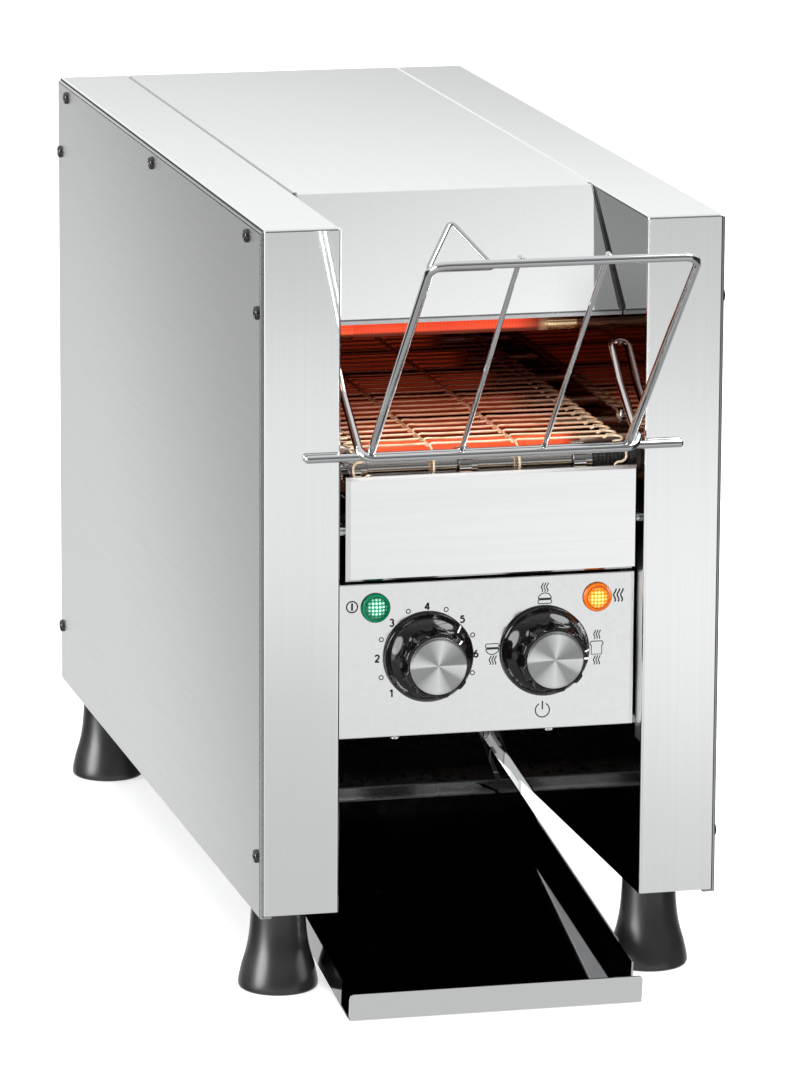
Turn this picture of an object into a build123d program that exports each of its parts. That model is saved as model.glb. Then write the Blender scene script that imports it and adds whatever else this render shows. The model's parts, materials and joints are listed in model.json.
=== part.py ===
"""Single-lane countertop conveyor toaster, built as an assembly of separate pieces.

Millimetres.  +Z is up, the infeed/outfeed front faces -Y, the origin lies on the
standing surface under the middle of the overall bounding box.  Depths named d are
measured backwards from the front faces of the two side housings.
"""
from build123d import *
import math
import os

os.makedirs("parts", exist_ok=True)

# ----------------------------------------------------------------- driving dimensions
BODY_W = 250.0          # over the two side housings
BODY_D = 560.0          # depth of the side housings
BODY_H = 371.0          # height of the side housings
FOOT_H = 55.0           # height of the rubber feet
LANE_W = 166.6          # clear width between the side housings
SHEET = 1.0             # stainless sheet
BEND = 1.5              # outside bend radius of the housings
FRONT_Y = -219.35       # front faces of the side housings
SHAFT_Z = 293.9         # both belt shafts
SHAFT_FRONT_D = 17.0
SHAFT_REAR_D = 425.0
SHAFT_R = 4.0
BELT_R = 10.1           # radius of the wire centres round a shaft
BELT_WIRE = 1.4
BELT_HALF_W = 75.7
TUBE_R = 4.5            # quartz heater tubes
TUBE_CAP_R = 5.5
LOWER_TUBES_D = [58.0, 110.0, 170.0, 235.0, 300.0, 360.0]
UPPER_TUBES_D = [66.0, 130.0, 200.0, 270.0, 340.0]
UPPER_TUBE_Z = 359.0
RACK_WIRE_R = 2.3
RACK_BAR_R = 1.4
PIN_D, PIN_Z = 53.5, 349.2     # hook pins of the infeed rack
RACK_X = 2.3                   # the rack sits a little to the right in its side play
PANEL_D = 12.0                 # face of the control panel
PANEL_Z0, PANEL_Z1 = 147.0, 231.5
KNOB_X, KNOB_Z = 32.1, 190.2
KNOB_R = 25.0
LAMP_X, LAMP_Z = 61.2, 218.3
TRAY_ANGLE = math.radians(7.9)
TRAY_X0, TRAY_X1 = -82.8, 79.5
TRAY_D, TRAY_Z = -21.5, 0.7    # lower front edge of the tray's lip
TRAY_LEN = 325.0
TRAY_WALL, TRAY_LIP = 15.2, 15.1
FOOT_X, FOOT_D_FRONT, FOOT_D_REAR = 104.5, 54.0, 523.0
CHAIN_X = 90.0
GLAND_X, GLAND_Z = 109.0, 95.0
MOTOR_Z = 170.0
MOTOR_D = 425.0
FAN_Z = 200.0
FAN_PITCH = 30.0          # half the fan's screw spacing

XO = BODY_W / 2
XI = LANE_W / 2
TOP = FOOT_H + BODY_H


def Y(d):
    """Row y of a depth behind the front faces."""
    return FRONT_Y + d


def slab(x0, x1, d0, d1, z0, z1, mode=Mode.ADD):
    """Rectangular block between the given limits, in the current part."""
    with BuildSketch(Plane.XY.offset(z0)) as s:
        with Locations(((x0 + x1) / 2, Y((d0 + d1) / 2))):
            Rectangle(x1 - x0, d1 - d0)
    extrude(s.sketch, amount=z1 - z0, mode=mode)


def rod_x(x0, x1, d, z, r, mode=Mode.ADD):
    """Round bar along X."""
    with BuildSketch(Plane(origin=(x0, Y(d), z), x_dir=(0, 1, 0), z_dir=(1, 0, 0))) as s:
        Circle(r)
    extrude(s.sketch, amount=x1 - x0, mode=mode)


def rod_y(x, d0, d1, z, r, mode=Mode.ADD):
    """Round bar along Y, from depth d0 back to depth d1."""
    with BuildSketch(Plane(origin=(x, Y(d0), z), x_dir=(1, 0, 0), z_dir=(0, 1, 0))) as s:
        Circle(r)
    extrude(s.sketch, amount=d1 - d0, mode=mode)


def rod_z(x, d, z0, z1, r, mode=Mode.ADD):
    """Round bar along Z."""
    with BuildSketch(Plane(origin=(x, Y(d), z0))) as s:
        Circle(r)
    extrude(s.sketch, amount=z1 - z0, mode=mode)


def offset_line(points, t):
    """Points of the open polyline moved t to its left, mitred at the bends."""
    out = []
    n = len(points)
    for i, (u, v) in enumerate(points):
        dirs = []
        if i > 0:
            a = math.atan2(v - points[i - 1][1], u - points[i - 1][0])
            dirs.append(a)
        if i < n - 1:
            a = math.atan2(points[i + 1][1] - v, points[i + 1][0] - u)
            dirs.append(a)
        if len(dirs) == 1:
            out.append((u - t * math.sin(dirs[0]), v + t * math.cos(dirs[0])))
        else:
            turn = math.atan2(math.sin(dirs[1] - dirs[0]), math.cos(dirs[1] - dirs[0]))
            mid = dirs[0] + turn / 2
            k = t / math.cos(turn / 2)
            out.append((u - k * math.sin(mid), v + k * math.cos(mid)))
    return out


def folded(points, t, x0, x1, mode=Mode.ADD):
    """Folded sheet: (depth, z) profile line, thickness t to its left, from x0 to x1."""
    inner = offset_line(points, t)
    outline = [(Y(d), z) for d, z in points + inner[::-1]]
    with BuildSketch(Plane(origin=(x0, 0, 0), x_dir=(0, 1, 0), z_dir=(1, 0, 0))) as s:
        with BuildLine():
            Polyline(outline, close=True)
        make_face()
    extrude(s.sketch, amount=x1 - x0, mode=mode)


def pan_screw(origin, out, r_head, h_head, r_shank, length):
    """Pan-head screw: the head stands out of origin along out, the shank runs back."""
    pl = Plane(origin=origin, z_dir=out)
    with BuildSketch(pl) as head:
        Circle(r_head)
    extrude(head.sketch, amount=h_head * 0.55)
    with BuildSketch(pl.offset(h_head * 0.55)) as low:
        Circle(r_head)
    with BuildSketch(pl.offset(h_head)) as high:
        Circle(r_head * 0.62)
    loft(Sketch() + [low.sketch.faces()[0], high.sketch.faces()[0]])
    with BuildSketch(pl) as shank:
        Circle(r_shank)
    extrude(shank.sketch, amount=-length)
    with BuildSketch(pl.offset(h_head)) as cross:
        Rectangle(r_head * 1.05, r_head * 0.24)
        Rectangle(r_head * 0.24, r_head * 1.05)
    extrude(cross.sketch, amount=-h_head * 0.5, mode=Mode.SUBTRACT)


def save(piece, name):
    piece.part.label = name
    export_step(piece.part, "parts/" + name + ".step")


SIDE_SCREWS = [(530.8, 417.6), (279.9, 417.6), (33.9, 417.6), (8.6, 380.8),
               (8.7, 86.4), (550.9, 382.1), (552.6, 87.6)]
WALL_SCREWS = [(130, 417), (300, 417), (520, 417), (60, 200), (180, 200), (100, 280),
               (300, 280), (120, 385), (335, 385), (535, 270), (535, 310)]
STRAP_SCREW_X, STRAP_SCREW_D = 94.0, 272.0
BOX_SCREW_X, BOX_SCREW_D = 43.0, 42.0
COVER_SCREWS = [(sx * 90.0, z) for sx in (-1, 1) for z in (80.0, 240.0, 405.0)]

# ------------------------------------------------------------------ side housings
with BuildPart() as left_housing:
    slab(-XO, -XI, 0, BODY_D, FOOT_H, TOP)
    fillet(left_housing.edges().filter_by(Axis.Z), radius=BEND)
    fillet(left_housing.faces().sort_by(Axis.Z)[-1].edges(), radius=BEND)
    slab(-XO + SHEET, -XI - SHEET, SHEET, BODY_D - SHEET, FOOT_H, TOP - SHEET, Mode.SUBTRACT)
    slab(-XO - 1, -XO + SHEET, 12, BODY_D - 12, FOOT_H, TOP - 12, Mode.SUBTRACT)
    for d in (SHAFT_FRONT_D, SHAFT_REAR_D):
        rod_x(-XI - 2, -XI + 1, d, SHAFT_Z, 6.0, Mode.SUBTRACT)
    rod_x(-XI - 2, -XI + 1, PIN_D, PIN_Z, RACK_WIRE_R + 0.08, Mode.SUBTRACT)
    for d in LOWER_TUBES_D:
        rod_x(-XI - 2, -XI + 1, d, SHAFT_Z, TUBE_CAP_R + 0.2, Mode.SUBTRACT)
    for d in UPPER_TUBES_D:
        rod_x(-XI - 2, -XI + 1, d, UPPER_TUBE_Z, TUBE_CAP_R + 0.2, Mode.SUBTRACT)
    rod_x(-XI - 2, -XI + 1, 46, 310, 2.6, Mode.SUBTRACT)
    rod_x(-XI - 2, -XI + 1, 8, 262, 1.6, Mode.SUBTRACT)
    for d, z in WALL_SCREWS:
        rod_x(-XI - 2, -XI + 1, d, z, 1.6, Mode.SUBTRACT)
    for d in (330, 480):
        rod_x(-XI - 2, -XI + 1, d, 63, 1.6, Mode.SUBTRACT)
    for d, z in SIDE_SCREWS:
        rod_x(-XO - 1, -XO + 2, d, z, 1.6, Mode.SUBTRACT)
    for x, z in COVER_SCREWS[:3]:
        rod_y(x, BODY_D - 2, BODY_D + 1, z, 1.6, Mode.SUBTRACT)
    # cable slot from the control box into the housing
    slab(-XI - 2, -XI + 1, 120, 150, 160, 180, Mode.SUBTRACT)
save(left_housing, "left_housing")

with BuildPart() as right_housing:
    add(mirror(left_housing.part, about=Plane.YZ))
    rod_y(GLAND_X, BODY_D - 2, BODY_D + 1, GLAND_Z, 8.1, Mode.SUBTRACT)
save(right_housing, "right_housing")

# --------------------------------------------------------------- outer side panels
PANEL_OUT = XO + 1.5
with BuildPart() as left_side_panel:
    slab(-PANEL_OUT, -XO, 1.8, BODY_D - 1.8, 53.2, TOP - 1.7)
    fillet(left_side_panel.faces().sort_by(Axis.X)[0].edges(), radius=0.9)
    slab(-XO - 0.5, -XO + 1, 2.8, BODY_D - 2.8, 54.2, TOP - 2.7, Mode.SUBTRACT)
    slab(-XO - 0.6, -XO + 5.0, 1.8, BODY_D - 1.8, 53.2, 54.2)
    for d, z in SIDE_SCREWS:
        rod_x(-PANEL_OUT - 1, -XO + 1, d, z, 1.7, Mode.SUBTRACT)
save(left_side_panel, "left_side_panel")

with BuildPart() as right_side_panel:
    add(mirror(left_side_panel.part, about=Plane.YZ))
save(right_side_panel, "right_side_panel")

# ----------------------------------------------------------------- base and feet
with BuildPart() as left_base_plate:
    slab(-XO + 1.1, -XI - 1.1, 1.1, BODY_D - 1.1, FOOT_H, FOOT_H + 1.5)
    slab(-XI - 2.1, -XI - 1.1, 12, BODY_D - 12, FOOT_H, 70)
    for d in (FOOT_D_FRONT, FOOT_D_REAR):
        # clinch nut for the foot screw
        rod_z(-FOOT_X, d, FOOT_H + 1.5, FOOT_H + 6.5, 5.0)
        rod_z(-FOOT_X, d, FOOT_H - 1, FOOT_H + 7, 2.6, Mode.SUBTRACT)
    rod_z(-STRAP_SCREW_X, STRAP_SCREW_D, FOOT_H - 1, FOOT_H + 3, 1.6, Mode.SUBTRACT)
    for d in (330, 480):
        rod_x(-XI - 3, -XI, d, 63, 1.6, Mode.SUBTRACT)
    with BuildSketch(Plane.XY.offset(FOOT_H - 1)) as vents:
        with Locations((-104.5, Y(205)), (-104.5, Y(380))):
            with GridLocations(0, 9, 1, 9):
                SlotOverall(24, 3.5)
    extrude(vents.sketch, amount=4, mode=Mode.SUBTRACT)
save(left_base_plate, "left_base_plate")

with BuildPart() as right_base_plate:
    add(mirror(left_base_plate.part, about=Plane.YZ))
save(right_base_plate, "right_base_plate")

FEET = [(sx * FOOT_X, d) for sx in (-1, 1) for d in (FOOT_D_FRONT, FOOT_D_REAR)]
with BuildPart() as rubber_feet:
    for fx, fd in FEET:
        with BuildSketch(Plane(origin=(fx, Y(fd), 0), x_dir=(1, 0, 0), z_dir=(0, -1, 0))) as prof:
            with BuildLine():
                Polyline((5.5, 12), (5.5, 0), (19.6, 0))
                RadiusArc((19.6, 0), (21.8, 2.4), -2.4)
                Line((21.8, 2.4), (21.7, 5.6))
                Spline((21.7, 5.6), (19.9, 12.9), (17.7, 20.0), (16.2, 27.5), (15.2, 36.5),
                       (14.7, 47.0), (14.6, FOOT_H))
                Polyline((14.6, FOOT_H), (2.65, FOOT_H), (2.65, 12), (5.5, 12))
            make_face()
        revolve(prof.sketch, axis=Axis((fx, Y(fd), 0), (0, 0, 1)))
save(rubber_feet, "rubber_feet")

with BuildPart() as foot_screws:
    for fx, fd in FEET:
        pan_screw((fx, Y(fd), 12), (0, 0, -1), 5.0, 3.2, 2.5, 50)
save(foot_screws, "foot_screws")

# ------------------------------------------------------------------------ hood
HOOD_X = XI - 0.5
HOOD_LIP = (47.0, 365.0)
HOOD_FOLD = (47.0, 367.6)
HOOD_BREAK = (109.0, TOP)
with BuildPart() as top_hood:
    folded([(53.0, 365.0), HOOD_LIP, HOOD_FOLD, HOOD_BREAK, (559.3, TOP)][::-1], SHEET,
           -HOOD_X, HOOD_X)
    for s in (-1, 1):
        slab(min(s * HOOD_X, s * (HOOD_X - SHEET)), max(s * HOOD_X, s * (HOOD_X - SHEET)),
             118, 545, 410, TOP - 0.5)
    for d, z in WALL_SCREWS[:3]:
        for s in (-1, 1):
            rod_x(s * XI - 3, s * XI + 3, d, z, 1.6, Mode.SUBTRACT)
    # raised triangular bead on the sloping front
    slope = math.atan2(HOOD_BREAK[1] - HOOD_FOLD[1], HOOD_BREAK[0] - HOOD_FOLD[0])
    tri_plane = Plane(origin=(-0.7, Y(77.3), HOOD_FOLD[1] + (77.3 - 47.0) * math.tan(slope)),
                      x_dir=(1, 0, 0), z_dir=(0, -math.sin(slope), math.cos(slope)))
    with BuildSketch(tri_plane) as bead:
        RegularPolygon(23.0, 3, rotation=90)
        fillet(bead.vertices(), radius=2.6)
        RegularPolygon(20.2, 3, rotation=90, mode=Mode.SUBTRACT)
    extrude(bead.sketch, amount=0.6)
save(top_hood, "top_hood")

# ------------------------------------------------------------------------ rear
with BuildPart() as rear_cover:
    slab(-96, 96, BODY_D, BODY_D + 1, 60, TOP - 2)
    with BuildSketch(Plane(origin=(0, Y(BODY_D + 2), 0), x_dir=(1, 0, 0), z_dir=(0, 1, 0))) as rc:
        for row in range(8):
            with Locations((-40, -(110 + 9 * row)), (40, -(110 + 9 * row))):
                SlotOverall(52, 4)
    extrude(rc.sketch, amount=-4, mode=Mode.SUBTRACT)
    for x, z in COVER_SCREWS:
        rod_y(x, BODY_D - 1, BODY_D + 3, z, 1.7, Mode.SUBTRACT)
save(rear_cover, "rear_cover")

with BuildPart() as cord_gland:
    rod_y(GLAND_X, BODY_D, BODY_D + 3.2, GLAND_Z, 11.5)
    rod_y(GLAND_X, 546, BODY_D, GLAND_Z, 8.0)
    rod_y(GLAND_X, BODY_D + 3.2, BODY_D + 12, GLAND_Z, 7.0)
    chamfer(cord_gland.faces().sort_by(Axis.Y)[-1].edges(), length=1.2)
    rod_y(GLAND_X, 554, 557.5, GLAND_Z, 9.2)
    rod_y(GLAND_X, 540, BODY_D + 1.0, GLAND_Z, 5.2, Mode.SUBTRACT)
    rod_y(GLAND_X, BODY_D + 1.0, BODY_D + 14, GLAND_Z, 3.9, Mode.SUBTRACT)
save(cord_gland, "cord_gland")

# ---------------------------------------------------------------------- fascia
with BuildPart() as front_fascia:
    slab(-80, 80, 0.6, 14, 235.3, 291.5)
    chamfer(front_fascia.faces().sort_by(Axis.Y)[0].edges(), length=1.4, length2=2.4)
    slab(-79, 79, 2.2, 15, 236.3, 290.5, Mode.SUBTRACT)
    slab(-81, 81, 5.0, 15, 280, 292, Mode.SUBTRACT)
    for s in (-1, 1):
        rod_x(s * 79.5 - 2, s * 79.5 + 2, 8, 262, 1.6, Mode.SUBTRACT)
save(front_fascia, "front_fascia")

with BuildPart() as fascia_fixings:
    for s in (-1, 1):
        rod_x(min(s * 80, s * XI), max(s * 80, s * XI), 8, 262, 2.8)
        rod_x(min(s * 76, s * 86.3), max(s * 76, s * 86.3), 8, 262, 1.5)
        rod_x(min(s * (XI + SHEET), s * (XI + SHEET + 2)), max(s * (XI + SHEET), s * (XI + SHEET + 2)),
              8, 262, 3.0)
save(fascia_fixings, "fascia_fixings")

# --------------------------------------------------------------- control panel
with BuildPart() as control_panel:
    slab(-81.9, 81.9, PANEL_D, 37.8, PANEL_Z0, PANEL_Z1)
    fillet(control_panel.faces().sort_by(Axis.Y)[0].edges(), radius=0.6)
    slab(-81.4, 81.4, 37.0, 50, PANEL_Z0, PANEL_Z1)
    slab(-80.2, 80.2, PANEL_D + 1.2, 51, PANEL_Z0 + 1.2, PANEL_Z1 - 1.2, Mode.SUBTRACT)
    slab(-80.0, 80.0, 26, 51, PANEL_Z1 - 1.5, PANEL_Z1 + 1, Mode.SUBTRACT)
    for s in (-1, 1):
        rod_z(s * BOX_SCREW_X, BOX_SCREW_D, PANEL_Z0 - 1, PANEL_Z0 + 2, 1.6, Mode.SUBTRACT)
    for s in (-1, 1):
        rod_y(s * KNOB_X, PANEL_D - 1, PANEL_D + 3, KNOB_Z, 3.6, Mode.SUBTRACT)
        rod_y(s * LAMP_X, PANEL_D - 1, PANEL_D + 3, LAMP_Z, 7.05, Mode.SUBTRACT)
save(control_panel, "control_panel")

BOX_Z0, BOX_Z1 = 140.8, 262.0
with BuildPart() as control_box:
    slab(-HOOD_X, HOOD_X, 38, 200, BOX_Z0, BOX_Z1)
    slab(-HOOD_X + 1.2, HOOD_X - 1.2, 39.2, 198.8, BOX_Z0 + 1.2, BOX_Z1 + 1, Mode.SUBTRACT)
    slab(-HOOD_X + 1.2, HOOD_X - 1.2, 37, 40, PANEL_Z0, BOX_Z1 + 1, Mode.SUBTRACT)
    for s in (-1, 1):
        rod_z(s * BOX_SCREW_X, BOX_SCREW_D, BOX_Z0 - 1, BOX_Z0 + 3, 1.6, Mode.SUBTRACT)
        for d, z in WALL_SCREWS[3:5]:
            rod_x(s * XI - 3, s * XI + 3, d, z, 1.6, Mode.SUBTRACT)
    slab(-XI, -XI + 3, 120, 150, 160, 180, Mode.SUBTRACT)
    slab(XI - 3, XI, 120, 150, 160, 180, Mode.SUBTRACT)
    rod_y(0, 195, 203, 200, 33.0, Mode.SUBTRACT)
    for sx in (-1, 1):
        for sz in (-1, 1):
            rod_y(sx * FAN_PITCH, 195, 203, 200 + sz * FAN_PITCH, 1.6, Mode.SUBTRACT)
    # pressed-in pillars that carry the speed board
    for x, d in ((-66, 74), (16, 74), (-66, 146), (16, 146)):
        rod_z(x, d, BOX_Z0 + 1.2, 146, 3)
save(control_box, "control_box")

with BuildPart() as control_box_lid:
    slab(-HOOD_X, HOOD_X, 22, 200, BOX_Z1, BOX_Z1 + 1.0)
save(control_box_lid, "control_box_lid")

# ------------------------------------------------------------------ pilot lamps
for lamp in ("power_lamp", "heat_lamp"):
    lx = -LAMP_X if lamp == "power_lamp" else LAMP_X
    dome_r = (8.0 ** 2 + 2.6 ** 2) / (2 * 2.6)
    half = math.asin(8.0 / dome_r) / 2
    with BuildPart() as lens:
        with BuildSketch(Plane(origin=(lx, Y(PANEL_D), LAMP_Z), x_dir=(1, 0, 0), z_dir=(0, 0, 1))) as lp:
            with BuildLine():
                Polyline((0, 0), (8.0, 0), (8.0, -1.3))
                ThreePointArc((8.0, -1.3), (dome_r * math.sin(half), dome_r - 3.9 - dome_r * math.cos(half)),
                              (0, -3.9))
                Line((0, -3.9), (0, 0))
            make_face()
        revolve(lp.sketch, axis=Axis((lx, Y(PANEL_D), LAMP_Z), (0, 1, 0)))
    save(lens, lamp + "_lens")

with BuildPart() as lamp_holders:
    for s in (-1, 1):
        rod_y(s * LAMP_X, PANEL_D, 42, LAMP_Z, 6.9)
        rod_y(s * LAMP_X, 42, 46, LAMP_Z, 5.0)
save(lamp_holders, "lamp_holders")

# ------------------------------------------------------------------------ knobs
KNOB_BACK = PANEL_D - 0.8
KNOB_FACE = -11.0
for kname in ("speed", "selector"):
    kx = -KNOB_X if kname == "speed" else KNOB_X
    with BuildPart() as knob:
        with BuildSketch(Plane(origin=(kx, Y(0), KNOB_Z), x_dir=(1, 0, 0), z_dir=(0, 0, 1))) as kp:
            with BuildLine():
                Polyline((3.02, 5.0), (12.0, 5.0), (12.0, KNOB_BACK), (24.6, KNOB_BACK),
                         (KNOB_R, KNOB_BACK - 0.4), (KNOB_R, KNOB_BACK - 2.2))
                ThreePointArc((KNOB_R, KNOB_BACK - 2.2), (22.6, 5.9), (18.2, 2.5))
                Polyline((18.2, 2.5), (3.02, 2.5), (3.02, 5.0))
            make_face()
        revolve(kp.sketch, axis=Axis((kx, Y(0), KNOB_Z), (0, 1, 0)))
        with BuildSketch(Plane(origin=(kx, Y(2.5), KNOB_Z), x_dir=(1, 0, 0), z_dir=(0, -1, 0))) as grip:
            Circle(18.4)
            with PolarLocations(21.6, 9, start_angle=20):
                Circle(5.2, mode=Mode.SUBTRACT)
            fillet(grip.vertices(), radius=1.6)
        extrude(grip.sketch, amount=2.5 - KNOB_FACE)
        rod_y(kx, KNOB_FACE - 1, KNOB_FACE + 0.8, KNOB_Z, 15.65, Mode.SUBTRACT)
        rod_y(kx, -6.0, 5, KNOB_Z, 3.02, Mode.SUBTRACT)
    save(knob, kname + "_knob")
    with BuildPart() as cap:
        rod_y(kx, KNOB_FACE - 0.2, KNOB_FACE + 0.8, KNOB_Z, 15.6)
    save(cap, kname + "_knob_cap")
    with BuildPart() as spindle:
        rod_y(kx, -6.0, 27.0, KNOB_Z, 3.0)
    save(spindle, kname + "_spindle")

with BuildPart() as speed_control:
    rod_y(-KNOB_X, 9.4, 14.4, KNOB_Z, 3.5)
    rod_y(-KNOB_X, 14.4, 27.0, KNOB_Z, 13.0)
    slab(-KNOB_X - 9, -KNOB_X + 9, 20, 25, KNOB_Z - 21, KNOB_Z - 12)
    rod_y(-KNOB_X, 9, 28, KNOB_Z, 3.05, Mode.SUBTRACT)
save(speed_control, "speed_control")

with BuildPart() as selector_switch:
    rod_y(KNOB_X, 9.4, 14.4, KNOB_Z, 3.5)
    slab(KNOB_X - 19, KNOB_X + 19, 14.4, 58.0, KNOB_Z - 19, KNOB_Z + 19)
    fillet(selector_switch.edges().filter_by(Axis.Y).group_by(SortBy.LENGTH)[-1], radius=3)
    for k in (22, 34, 46):
        slab(KNOB_X - 16, KNOB_X + 16, k, k + 5, KNOB_Z - 24, KNOB_Z - 19)
    rod_y(KNOB_X, 9, 28, KNOB_Z, 3.05, Mode.SUBTRACT)
save(selector_switch, "selector_switch")

with BuildPart() as panel_nuts:
    for s in (-1, 1):
        rod_y(s * LAMP_X, PANEL_D + 1.2, PANEL_D + 4.2, LAMP_Z, 9.4)
        rod_y(s * LAMP_X, PANEL_D + 1, PANEL_D + 5, LAMP_Z, 6.95, Mode.SUBTRACT)
    for s in (-1, 1):
        with BuildSketch(Plane(origin=(s * KNOB_X, Y(PANEL_D), KNOB_Z), x_dir=(1, 0, 0),
                               z_dir=(0, -1, 0))) as cn:
            RegularPolygon(5.8, 6)
            Circle(3.55, mode=Mode.SUBTRACT)
        extrude(cn.sketch, amount=2.2)
save(panel_nuts, "panel_nuts")

# ----------------------------------------------------------------- electrical parts
with BuildPart() as speed_board:
    slab(-70, 20, 70, 150, 146, 147.6)
    slab(-60, -35, 85, 115, 147.6, 172)
    slab(-20, -6, 90, 130, 147.6, 168)
    rod_z(5, 100, 147.6, 164, 6)
    rod_z(5, 122, 147.6, 160, 5)
save(speed_board, "speed_board")

with BuildPart() as terminal_block:
    slab(XI + SHEET, 102, 490, 530, 84, 150)
    for k in range(5):
        slab(102, 106, 494, 526, 88 + 12.4 * k, 96 + 12.4 * k)
save(terminal_block, "terminal_block")

with BuildPart() as safety_thermostat:
    rod_y(60, 186.8, 198.8, 225, 9)
    slab(50, 53, 178, 186.8, 222, 228)
    slab(67, 70, 178, 186.8, 222, 228)
    slab(50, 70, 186.8, 189, 220, 230)
save(safety_thermostat, "safety_thermostat")

# ------------------------------------------------------------------ cooling fan
with BuildPart() as fan_frame:
    slab(-35, 35, 200, 225, FAN_Z - 35, FAN_Z + 35)
    fillet(fan_frame.edges().filter_by(Axis.Y), radius=4)
    rod_y(0, 199, 226, FAN_Z, 33.2, Mode.SUBTRACT)
    for s in (-1, 1):
        for q in (-1, 1):
            rod_y(s * FAN_PITCH, 199, 226, FAN_Z + q * FAN_PITCH, 2.1, Mode.SUBTRACT)
    rod_y(0, 222, 225, FAN_Z, 15)
    slab(-34, 34, 222.5, 225, FAN_Z - 2, FAN_Z + 2)
    slab(-2, 2, 222.5, 225, FAN_Z - 34, FAN_Z + 34)
    rod_y(0, 214, 226, FAN_Z, 2.05, Mode.SUBTRACT)
save(fan_frame, "fan_frame")

with BuildPart() as fan_rotor:
    rod_y(0, 203, 221, FAN_Z, 14)
    rod_y(0, 221, 224, FAN_Z, 2.0)
    for k in range(7):
        a = 2 * math.pi * k / 7
        radial = (math.cos(a), 0, math.sin(a))
        # pitched blade: its chord leans 35 degrees out of the plane of rotation
        chord = (-math.sin(a) * math.cos(0.61), math.sin(0.61), math.cos(a) * math.cos(0.61))
        with BuildSketch(Plane(origin=(13 * radial[0], Y(212), FAN_Z + 13 * radial[2]),
                               x_dir=chord, z_dir=radial)) as blade:
            Rectangle(15, 1.2)
        extrude(blade.sketch, amount=18.5)
save(fan_rotor, "fan_rotor")

# ------------------------------------------------------------- conveyor and shafts
with BuildPart() as conveyor_belt:
    belt_plane = Plane(origin=(-BELT_HALF_W, Y((SHAFT_FRONT_D + SHAFT_REAR_D) / 2), SHAFT_Z),
                       x_dir=(0, 1, 0), z_dir=(1, 0, 0))
    run = SHAFT_REAR_D - SHAFT_FRONT_D
    with BuildSketch(belt_plane) as band:
        SlotCenterToCenter(run, 2 * BELT_R + BELT_WIRE)
        SlotCenterToCenter(run, 2 * BELT_R - BELT_WIRE, mode=Mode.SUBTRACT)
    extrude(band.sketch, amount=2 * BELT_HALF_W)
save(conveyor_belt, "conveyor_belt")

SPROCKETS_X = (-73.5, -13.0, 50.0)
with BuildPart() as front_shaft:
    rod_x(-87.0, 87.0, SHAFT_FRONT_D, SHAFT_Z, SHAFT_R)
save(front_shaft, "front_shaft")

with BuildPart() as drive_shaft:
    rod_x(-87.0, 92.5, SHAFT_REAR_D, SHAFT_Z, SHAFT_R)
save(drive_shaft, "drive_shaft")

for pname, pd in (("front_sprockets", SHAFT_FRONT_D), ("drive_sprockets", SHAFT_REAR_D)):
    with BuildPart() as wheels:
        for x in SPROCKETS_X:
            with BuildSketch(Plane(origin=(x - 3.3, Y(pd), SHAFT_Z), x_dir=(0, 1, 0), z_dir=(1, 0, 0))) as wh:
                Circle(9.0)
                with PolarLocations(9.9, 10):
                    Circle(1.7, mode=Mode.SUBTRACT)
                Circle(SHAFT_R + 0.02, mode=Mode.SUBTRACT)
            extrude(wh.sketch, amount=6.6)
    save(wheels, pname)

with BuildPart() as front_shaft_collars:
    for x in SPROCKETS_X:
        rod_x(x + 3.5, x + 7.0, SHAFT_FRONT_D, SHAFT_Z, 7.2)
        rod_x(x + 3, x + 8, SHAFT_FRONT_D, SHAFT_Z, SHAFT_R + 0.02, Mode.SUBTRACT)
save(front_shaft_collars, "front_shaft_collars")

with BuildPart() as front_spacer_tubes:
    for x0, x1 in ((-66.3, -16.5), (-5.8, 46.5), (57.2, 80.0)):
        rod_x(x0, x1, SHAFT_FRONT_D, SHAFT_Z, 5.6)
        rod_x(x0 - 1, x1 + 1, SHAFT_FRONT_D, SHAFT_Z, SHAFT_R + 0.02, Mode.SUBTRACT)
save(front_spacer_tubes, "front_spacer_tubes")

with BuildPart() as shaft_bushes:
    for d in (SHAFT_FRONT_D, SHAFT_REAR_D):
        for s in (-1, 1):
            rod_x(min(s * 81.3, s * XI), max(s * 81.3, s * XI), d, SHAFT_Z, 9.0)
            rod_x(min(s * XI, s * 87.5), max(s * XI, s * 87.5), d, SHAFT_Z, 5.95)
            rod_x(min(s * 80, s * 89), max(s * 80, s * 89), d, SHAFT_Z, SHAFT_R + 0.05, Mode.SUBTRACT)
save(shaft_bushes, "shaft_bushes")

with BuildPart() as wall_bolts:
    for s in (-1, 1):
        rod_x(min(s * 81.0, s * XI), max(s * 81.0, s * XI), 46, 310, 4.2)
        rod_x(min(s * XI, s * 90.0), max(s * XI, s * 90.0), 46, 310, 2.5)
    fillet(wall_bolts.faces().filter_by(Plane.YZ).sort_by(Axis.X)[2].edges(), radius=1.6)
    fillet(wall_bolts.faces().filter_by(Plane.YZ).sort_by(Axis.X)[-3].edges(), radius=1.6)
save(wall_bolts, "wall_bolts")

# ---------------------------------------------------------------------- heating
with BuildPart() as lower_heater_tubes:
    for d in LOWER_TUBES_D:
        rod_x(-66, 66, d, SHAFT_Z, TUBE_R)
save(lower_heater_tubes, "lower_heater_tubes")

with BuildPart() as upper_heater_tubes:
    for d in UPPER_TUBES_D:
        rod_x(-66, 66, d, UPPER_TUBE_Z, TUBE_R)
save(upper_heater_tubes, "upper_heater_tubes")

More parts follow.
